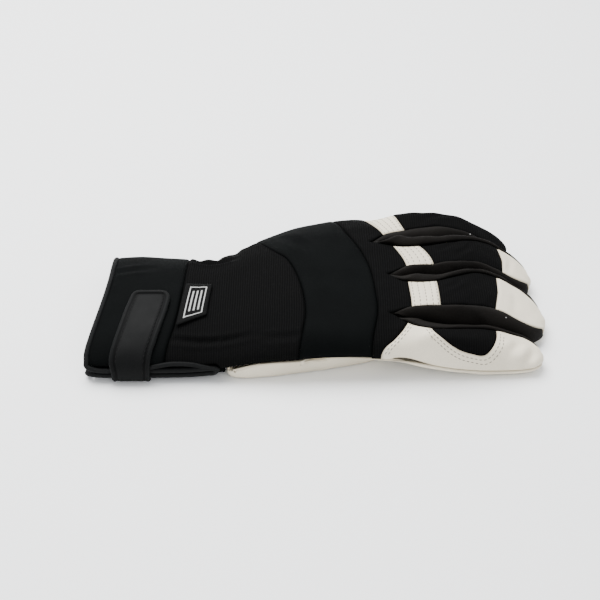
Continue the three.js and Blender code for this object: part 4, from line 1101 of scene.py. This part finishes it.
# Stitching
def line_through(points, spacing, closed=False):
    """Points at an even spacing, in millimetres, on a smooth curve through the given ones."""
    p = np.asarray(points, float)
    if closed:
        p = np.vstack([p, p[:1]])
    s = np.concatenate([[0], np.cumsum(np.linalg.norm(np.diff(p, axis=0), axis=1))])
    if closed:
        first = last = (p[1] - p[-2]) / (s[1] + s[-1] - s[-2])
    else:
        first, last = (p[1] - p[0]) / s[1], (p[-1] - p[-2]) / (s[-1] - s[-2])
    slope = np.vstack([first, (p[2:] - p[:-2]) / (s[2:] - s[:-2])[:, None], last])
    count = max(2, int(round(s[-1] / spacing)) + 1)
    at = np.linspace(0, s[-1], count)
    k = np.clip(np.searchsorted(s, at, side="right") - 1, 0, len(s) - 2)
    h = (s[k + 1] - s[k])[:, None]
    t = ((at - s[k]) / h[:, 0])[:, None]
    out = curve(p[k], p[k + 1], h * slope[k], h * slope[k + 1], t)
    return out[:-1] if closed else out


class Stitching:
    """Rows of short stitches that lie in the surface of the pieces they sew."""

    def __init__(self, *names):
        graph = bpy.context.evaluated_depsgraph_get()
        self.trees = [BVHTree.FromObject(bpy.data.objects[name], graph) for name in names]
        self.verts, self.faces = [], []

    def row(self, points, pitch):
        pts = line_through(points, pitch)
        along = np.gradient(pts, axis=0)
        for p, way in zip(pts, along):
            found = [t.find_nearest(Vector(to_metres(p))) for t in self.trees]
            spot, normal, _, _ = min(found, key=lambda f: f[3])
            self.stitch(np.array(spot) * 1000, np.array(normal), way, pitch * STITCH_SHARE)

    def stitch(self, centre, up, way, length):
        way = way - up * np.dot(way, up)
        way /= np.linalg.norm(way)
        side = np.cross(up, way)
        start = len(self.verts)
        for at, size in STITCH_RINGS:
            for k in range(5):
                a = math.pi * k / 4
                off = way * at * length + side * math.cos(a) * STITCH_WIDTH / 2 * size
                off = off + up * (math.sin(a) * STITCH_HEIGHT * size - 0.12 - 0.5 * abs(at) ** 2)
                self.verts.append(centre + off)
        for i in range(start, start + 5 * (len(STITCH_RINGS) - 1), 5):
            self.faces += [(a, a + 1, a + 6, a + 5) for a in range(i, i + 4)]
            self.faces.append((i + 4, i, i + 5, i + 9))
        self.faces += [tuple(range(start + 4, start - 1, -1)), tuple(range(start + 25, start + 30))]

    def finish(self, name, look):
        return finish_piece(name, smooth_mesh(name, [v * 0.001 for v in self.verts], self.faces), look)


# User sizes and colours
class GloveCloth(bpy.types.PropertyGroup):
    rib_pitch: FloatProperty(name="Rib pitch", description="Distance between two ribs of the knit",
                             default=0.0012, min=0.0004, unit="LENGTH", precision=4)
    fold_depth: FloatProperty(name="Fold depth", description="How deep the creases are, of their usual depth",
                              default=1.0, min=0.0, max=2.0, subtype="FACTOR")
    stitch_pitch: FloatProperty(name="Stitch pitch", description="Distance between two stitches",
                                default=0.0024, min=0.001, unit="LENGTH", precision=4)


def colour(name, description, default):
    return FloatVectorProperty(name=name, description=description, default=default, subtype="COLOR", min=0, max=1)


class GloveColours(bpy.types.PropertyGroup):
    neoprene: colour("Neoprene", "Cuff and knuckle band", (0.0015, 0.0018, 0.0018))
    knit: colour("Knit", "Ribbed back of the hand and fingers", (0.0028, 0.0028, 0.0028))
    stretch: colour("Stretch cloth", "Side strips between the fingers", (0.0052, 0.0044, 0.0037))
    leather: colour("Leather", "Palm, thumb, wrap, patches and fingertips", (0.7, 0.635, 0.5))
    rubber: colour("Rubber", "Wrist strap and the cuff's binding", (0.0042, 0.0044, 0.0044))
    pale_thread: colour("Pale thread", "Stitches on the leather", (0.2, 0.185, 0.155))
    black_thread: colour("Black thread", "Stitches on the strap", (0.004, 0.004, 0.004))
    floor: colour("Floor", "The plain floor", (0.93, 0.935, 0.93))


class GloveStage(bpy.types.PropertyGroup):
    elevation: FloatProperty(name="Camera elevation", description="Angle of the view above the floor",
                             default=math.radians(40), subtype="ANGLE")
    distance: FloatProperty(name="Camera distance", description="From the camera to the point it looks at",
                            default=0.7235, min=0.1, unit="LENGTH")
    light: FloatProperty(name="Light", description="Power of the soft light overhead",
                         default=31.0, min=0.0, unit="POWER")


# Pieces
class GlovePiece:
    """What the operators that build pieces share."""
    bl_options = {"REGISTER", "UNDO"}

    def execute(self, context):
        self.folds = context.scene.glove_cloth.fold_depth
        self.pitch = context.scene.glove_cloth.stitch_pitch * 1000
        self.make(context)
        return {"FINISHED"}

    def soft(self, rows, size, depth, seed=0.0):
        """A panel's creases and its gentle unevenness."""
        return lambda p: self.folds * (creases(p, rows) + depth * ripple(p, size, seed))

    def panel(self, name, node, look, roll, skin, field, wall=None, rim_field=None):
        """Close a skin into a piece that stands in for one of the fixed solids."""
        piece = skin.build(name, look, wall or WALLS[look], ROLLS[roll], field, rim_field)
        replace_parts(piece, node)
        return piece


class GLOVE_OT_cuff(GlovePiece, bpy.types.Operator):
    """Build the cuff and the binding round its opening and its slit"""
    bl_idname = "glove.cuff"
    bl_label = "Cuff"

    def make(self, context):
        def end(y, p):
            return np.where(p > 1, seam_at(PALM_SEAM, y), seam_at(CUFF_SEAM, y)) - LAP

        places = np.concatenate([evenly(0, 1, 110), evenly(1, 2, 80)[1:]])
        skin = Skin().grid(ring_panel(edge_of(CUFF_EDGE), end, evenly(0, 1, 44), places))
        self.panel("cuff_cloth", "cuff", "neoprene", "cuff", skin, self.soft(CUFF_FOLDS, 34, 0.3))
        self.binding()
        self.lining()
        self.loop()

    def binding(self):
        off = BINDING_RADIUS + SEAM * 0.75
        turn, turn_x = SLIT_HALF - off - 1.5 * SEAM, SLIT_END - SLIT_HALF
        radius, inside = 1.25 * BINDING_RADIUS, -CUFF_WALL / 2

        def slit_point(x, up):
            h = read(HAND, np.array(float(x)))
            return [x, float(h["near"]) - inside, float(h["nearEdge"]) + up]

        bend = np.radians([60, 30, 0, -30, -60])
        path = [slit_point(turn_x + turn * math.cos(a), -turn * math.sin(a)) for a in bend]
        path += [slit_point(turn_x * t, turn) for t in SLIT_PLACES]
        for p in np.array(OPENING_PLACES):
            edge_y = hand_ring(np.array(0.0), p, inside, turn)[1]
            x, y, z = hand_ring(seam_at(CUFF_EDGE, edge_y) - 0.6 * BINDING_RADIUS, p, inside, turn)
            path.append([x, y, max(BINDING_RADIUS + SEAM, z)])
        path += [slit_point(turn_x * t, -turn) for t in SLIT_PLACES[::-1]]
        line = line_through(path, 1.1, closed=True)
        line[:, 2] = np.maximum(line[:, 2], radius)
        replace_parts(tube("cuff_binding_tape", line, radius, "tape"), "cuff_binding")

    def lining(self):
        """A strip of cloth inside the cuff, behind the slit."""
        x, v = np.meshgrid(evenly(2.0, SLIT_END + 2.0, 40), evenly(-4.5, 5.5, 12), indexing="ij")
        h = read(HAND, x)
        points = np.stack([x, h["near"] + 2.6 + 0.05 * v * v, np.maximum(0.6, h["nearEdge"] + v)], -1)
        Skin().grid(points).build("slit_lining", "neoprene", LINING_WALL, ROLLS["lining"])

    def loop(self):
        """The slit's upper binding where it bows up over the cuff and the wrist."""
        places = evenly(0.0, 0.25, 200)
        path = []
        for x, high in LOOP_PATH:
            ring = hand_ring(np.full(places.shape, float(x)), places, 0.2)
            path.append([x, np.interp(high, ring[:, 2], ring[:, 1]), high])
        line = line_through(path, 1.0)
        points = np.concatenate([line, (line - [0, 0, 0.9])[::-1]])
        tube("slit_loop_tape", points, 0.75 * BINDING_RADIUS, "tape", 10)


class GLOVE_OT_back(GlovePiece, bpy.types.Operator):
    """Build the back of the hand: ribbed wrist, smooth knuckle band and ribbed knuckles"""
    bl_idname = "glove.back"
    bl_label = "Back of the hand"

    def make(self, context):
        places = evenly(0, 1, 120)
        wrist = ring_panel(edge_of(CUFF_SEAM, LAP), edge_of(BAND_LEFT, -LAP), evenly(0, 1, 64), places)
        self.panel("wrist_cloth", "wrist_back", "knit", "wrist", Skin().grid(wrist),
                   self.soft(WRIST_FOLDS, 30, 0.3, 1.0))
        band = ring_panel(edge_of(BAND_LEFT, LAP), edge_of(BAND_RIGHT, -LAP), evenly(0, 1, 44), places)
        piece = self.panel("band_cloth", "knuckle_band", "neoprene", "band", Skin().grid(band),
                           self.soft(BAND_FOLDS, 30, 0.25, 2.0), KNIT_WALL)
        skin, cols = Skin(), evenly(0, 2, 44)
        for zone in ZONES:
            skin.grid(zone_panel(zone, evenly(0, 1, 12), cols, edge_of(BAND_RIGHT, LAP), edge_of(SPLIT)))
            skin.grid(zone_panel(zone, evenly(0, 1, 16), cols, edge_of(SPLIT), edge_of(PATCH_LEFT, -LAP)))
        self.panel("knuckle_cloth", "knuckle_knit", "knit", "finger", skin, self.soft((), 20, 0.25, 3.0))


class GLOVE_OT_fingers(GlovePiece, bpy.types.Operator):
    """Build the knit finger backs, the knuckle patches and the leather fingertips"""
    bl_idname = "glove.fingers"
    bl_label = "Fingers"

    def make(self, context):
        cols, after = evenly(0, 2, 44), edge_of(PATCH_RIGHT, LAP)
        for k, zone in enumerate(("middle", "ring", "little")):
            patch = zone_panel(zone, evenly(0, 1, 18), cols, edge_of(PATCH_LEFT, LAP), edge_of(PATCH_RIGHT, -LAP))
            self.panel(f"patch_leather_{zone}", f"knuckle_patch_{zone}", "leather", "patch",
                       Skin().grid(patch), self.quilted(4.0 + k))
        for k, zone in enumerate(("middle", "ring")):
            back = zone_panel(zone, evenly(0, 1, 40), cols, after, cap_at(zone, -LAP))
            self.panel(f"finger_cloth_{zone}", f"finger_back_{zone}", "knit", "finger",
                       Skin().grid(back), self.soft(FINGER_FOLDS, 16, 0.25, 6.0 + k))
            tip = zone_panel(zone, toward_tip(14), cols, cap_at(zone, LAP), tip_of(zone))
            self.panel(f"tip_leather_{zone}", f"fingertip_{zone}", "leather", "tip",
                       Skin().grid(tip), self.soft(TIP_FOLDS, 14, 0.2, 8.0 + k))
        little = zone_panel("little", toward_tip(48, 0.2), evenly(0, 2, 52), after, tip_of("little"))
        self.panel("finger_cloth_little", "finger_back_little", "knit", "finger",
                   Skin().grid(little), self.soft(FINGER_FOLDS, 16, 0.25, 10.0))

    def quilted(self, seed):
        """A patch's sewn grooves, side by side across the finger."""
        soft = self.soft((), 9, 0.1, seed)

        def field(p):
            left, right = seam_at(PATCH_LEFT, p[:, 1]), seam_at(PATCH_RIGHT, p[:, 1])
            total = soft(p)
            for share in QUILT_LINES:
                total = total - 0.3 * np.exp(-((p[:, 0] - mix(left, right, share)) / 0.45) ** 2)
            return total
        return field


class GLOVE_OT_index(GlovePiece, bpy.types.Operator):
    """Build the index finger: its leather wrap with a scallop, and the knit oval above it"""
    bl_idname = "glove.index"
    bl_label = "Index finger"

    def make(self, context):
        u, v = np.meshgrid(np.sin(evenly(-1, 1, 60) * math.pi / 2), evenly(0, 1, 36), indexing="ij")
        x = OVAL_CENTRE + u * (OVAL_HALF - LAP)
        oval = back_point("index", x, mix(oval_edge(x, -LAP), 2, v))
        self.panel("oval_cloth", "finger_back_index", "knit", "finger", Skin().grid(oval),
                   self.soft((), 14, 0.2, 11.0))
        wrap = back_point("index", *self.wrap_grid())
        self.panel("index_wrap_leather", "index_wrap", "leather", "tip", Skin().grid(wrap),
                   self.soft(WRAP_FOLDS, 18, 0.3, 12.0))

    def wrap_grid(self):
        """The wrap's rows: t 0 to 1 from the patches' seam to the oval, 1 to 3 below it, 3 to 4 on to the tip."""
        first, last = OVAL_CENTRE - OVAL_HALF - LAP, OVAL_CENTRE + OVAL_HALF + LAP
        below = 2 + np.sin(evenly(-1, 1, 70) * math.pi / 2)
        t = np.concatenate([evenly(0, 1, 12)[:-1], below, 3 + toward_tip(16, 0.45)[1:]])
        t, v = np.meshgrid(t, evenly(0, 1, 60), indexing="ij")
        x = np.where(t > 3, mix(last, ZONES["index"]["tip"], t - 3), OVAL_CENTRE + (t - 2) * (OVAL_HALF + LAP))
        x = np.where(t < 1, first, x)
        q = np.where((t >= 1) & (t <= 3), oval_edge(x, LAP) * v, 2 * v)
        return settle("index", q, lambda y: np.where(t < 1, mix(seam_at(PATCH_LEFT, y) + LAP, first, t), x), x), q


class GLOVE_OT_side_strips(GlovePiece, bpy.types.Operator):
    """Build the puffed strips that run down one finger, round the crotch and up the next"""
    bl_idname = "glove.side_strips"
    bl_label = "Side strips"

    def make(self, context):
        rows = np.concatenate([[0], 1 - np.cos(evenly(0.02, 1, 110) * math.pi / 2)])
        rows = np.unique(np.concatenate([[0, 0.006], mix(rows, np.linspace(0, 1, len(rows)), 0.7)]))
        places = evenly(0.03, 0.96, 34)[::-1]
        start = np.zeros_like(places)
        for k, (a, b) in enumerate((("index", "middle"), ("middle", "ring"), ("ring", "little"))):
            skin = Skin()
            crotch = (strip_point(a, "far", start, places) + strip_point(b, "near", start, places)) / 2
            for zone, side, order in ((a, "far", rows[::-1]), (b, "near", rows)):
                t, p = np.meshgrid(order, places, indexing="ij")
                points = strip_point(zone, side, t, p)
                points[order == 0] = crotch
                skin.grid(points)
            piece = self.panel(f"side_strip_{a}_{b}", f"fourchette_{a}_{b}", "stretch", "strip", skin,
                               self.soft(STRIP_FOLDS, 22, 0.3, 13.0 + k))


class GLOVE_OT_palm(GlovePiece, bpy.types.Operator):
    """Build the leather palm with the finger fronts, and the thumb that lies under it"""
    bl_idname = "glove.palm"
    bl_label = "Palm and thumb"

    def make(self, context):
        skin, tips = Skin(), toward_tip(44, 0.25)
        rows = np.concatenate([evenly(0, 0.5, 44), evenly(0.5, 1, 10)[1:]])
        for zone in ZONES:
            cols = evenly(0, 2, 48 if ZONES[zone]["outer"] else 36)[::-1]
            skin.grid(zone_panel(zone, rows, cols, edge_of(PALM_SEAM, 3 * SEAM), edge_of(SPLIT), under_point))
            skin.grid(zone_panel(zone, tips[tips <= 0.995], cols, edge_of(SPLIT), tip_of(zone), under_point))
        self.panel("palm_leather", "palm", "leather", "palm", skin, self.soft((), 24, 0.2, 17.0))
        r = np.concatenate([evenly(0, 0.84, 20), evenly(0.84, 1.16, 16)[1:], evenly(1.16, 2, 14)[1:]])
        r, turn = np.meshgrid(r, evenly(0, 1, 110), indexing="ij")
        thumb = Skin().grid(thumb_point(turn % 1, r))
        self.panel("thumb_leather", "thumb", "leather", "palm", thumb, self.soft((), 20, 0.15, 18.0))


class GLOVE_OT_strap(GlovePiece, bpy.types.Operator):
    """Build the moulded wrist strap with its sewn border"""
    bl_idname = "glove.strap"
    bl_label = "Wrist strap"

    def make(self, context):
        def channel(gap):
            return -0.7 * np.exp(-((gap - 2.7) / 0.6) ** 2) + 0.25 * np.exp(-((gap - 1.2) / 0.8) ** 2)

        i, w = np.meshgrid(evenly(0, len(STRAP_REACH) - 1, 150), evenly(1, 0, 34), indexing="ij")
        self.panel("wrist_strap", "closure_strap", "rubber", "strap", Skin().grid(strap_point(i, w)),
                   self.soft((), 30, 0.1, 19.0), rim_field=channel)


class GLOVE_OT_label(GlovePiece, bpy.types.Operator):
    """Build the small woven label, with a plain frame line and three equal bars"""
    bl_idname = "glove.label"
    bl_label = "Label"

    def make(self, context):
        u, v = np.meshgrid(evenly(0, 1, 18), evenly(0, 1, 30), indexing="ij")
        skin = Skin().grid(label_point(u, v), u * MAP_MM, v * MAP_MM)
        self.panel("label_cloth", "label_patch", "label", "label", skin, self.soft((), 8, 0.2, 20.0))


class GLOVE_OT_stitching(GlovePiece, bpy.types.Operator):
    """Sew the rows of stitches on the wrap, the patches and the strap"""
    bl_idname = "glove.stitching"
    bl_label = "Stitching"

    def make(self, context):
        sewn = Stitching("index_wrap_leather")
        for off in WRAP_LINES:
            q = np.linspace(0.25, 1.9, 24)
            x = settle("index", q, lambda y: seam_at(PATCH_LEFT, y) + LAP + off, tries=5)
            sewn.row(back_point("index", x, q), self.pitch)
            half = OVAL_HALF + off * 0.9
            x = np.linspace(OVAL_CENTRE - half, OVAL_CENTRE + half, 90)
            q = oval_edge(x, off)
            keep = q < 1.93
            sewn.row(back_point("index", x[keep], q[keep]), self.pitch)
        sewn.finish("wrap_stitches", "pale_thread")
        sewn = Stitching("patch_leather_middle", "patch_leather_ring", "patch_leather_little")
        for zone in ("middle", "ring", "little"):
            q = np.linspace(0.12, 1.88, 14)
            for share in QUILT_LINES:
                x = settle(zone, q, lambda y: mix(seam_at(PATCH_LEFT, y), seam_at(PATCH_RIGHT, y), share),
                           tries=5)
                sewn.row(back_point(zone, x, q), self.pitch)
        sewn.finish("patch_stitches", "pale_thread")
        sewn = Stitching("wrist_strap")
        for w in STRAP_LINES:
            sewn.row(strap_point(np.linspace(5.2, 13.6, 40), w), self.pitch)
        sewn.finish("strap_stitches", "black_thread")


class GLOVE_OT_stage(bpy.types.Operator):
    """Lay the plain floor, and set the soft light and the camera"""
    bl_idname = "glove.stage"
    bl_label = "Stage"
    bl_options = {"REGISTER", "UNDO"}

    def execute(self, context):
        scene, sizes = context.scene, context.scene.glove_stage
        mesh = bpy.data.meshes.new("floor")
        corners = [(-1, -1), (1, -1), (1, 1), (-1, 1)]
        mesh.from_pydata([(FLOOR_HALF * x, FLOOR_HALF * y, 0) for x, y in corners], [], [(0, 1, 2, 3)])
        floor = self.put(scene, "floor", mesh, (0, 0, -FLOOR_GAP))
        finish = Finish("Plain floor", 0.6, specular=0.3)
        c = scene.glove_colours.floor
        finish.colour(finish.tint(finish.noise(finish.place(), 1.5, 2.0), rgba(c, 0.99), rgba(c, 1.01)))
        mesh.materials.append(finish.material)
        scene.world = bpy.data.worlds.new("Pale room")
        scene.world.use_nodes = True
        room = scene.world.node_tree.nodes["Background"].inputs
        room[0].default_value, room[1].default_value = ROOM_TONE, ROOM_LIGHT
        for name, place, size, share in LAMPS:
            data = bpy.data.lights.new(name, "AREA")
            data.shape, data.size, data.energy = "DISK", size, sizes.light * share
            self.put(scene, name, data, place, Vector(place))
        data = bpy.data.cameras.new("Camera")
        data.lens, data.sensor_width = LENS, FILM
        away = Vector((0, -math.cos(sizes.elevation), math.sin(sizes.elevation)))
        scene.camera = self.put(scene, "Camera", data, Vector(to_metres(AIM)) + away * sizes.distance, away)
        return {"FINISHED"}

    def put(self, scene, name, data, place, away=None):
        """Put a thing in its place, a lamp or camera with its back to the given way."""
        thing = bpy.data.objects.new(name, data)
        thing.location = place
        if away is not None:
            thing.rotation_euler = away.to_track_quat("Z", "Y").to_euler()
        scene.collection.objects.link(thing)
        return thing


class GLOVE_PT_panel(bpy.types.Panel):
    """The glove's pieces, sizes and colours"""
    bl_idname = "GLOVE_PT_panel"
    bl_label = "Mechanic glove"
    bl_space_type = "VIEW_3D"
    bl_region_type = "UI"
    bl_category = "Glove"

    def draw(self, context):
        for block in (context.scene.glove_cloth, context.scene.glove_colours, context.scene.glove_stage):
            box = self.layout.box()
            for name in block.bl_rna.properties.keys():
                if name not in ("name", "rna_type"):
                    box.prop(block, name)
        for operator in OPERATORS:
            self.layout.operator(operator.bl_idname)


OPERATORS = (GLOVE_OT_cuff, GLOVE_OT_back, GLOVE_OT_fingers, GLOVE_OT_index, GLOVE_OT_side_strips,
             GLOVE_OT_palm, GLOVE_OT_strap, GLOVE_OT_label, GLOVE_OT_stitching, GLOVE_OT_stage)
CLASSES = (GloveCloth, GloveColours, GloveStage, *OPERATORS, GLOVE_PT_panel)


def register():
    for cls in CLASSES:
        bpy.utils.register_class(cls)
    bpy.types.Scene.glove_cloth = PointerProperty(type=GloveCloth)
    bpy.types.Scene.glove_colours = PointerProperty(type=GloveColours)
    bpy.types.Scene.glove_stage = PointerProperty(type=GloveStage)


def unregister():
    del bpy.types.Scene.glove_stage, bpy.types.Scene.glove_colours, bpy.types.Scene.glove_cloth
    for cls in reversed(CLASSES):
        bpy.utils.unregister_class(cls)


def main():
    register()
    for operator in OPERATORS:
        space, name = operator.bl_idname.split(".")
        getattr(getattr(bpy.ops, space), name)()


if __name__ == "__main__":
    main()
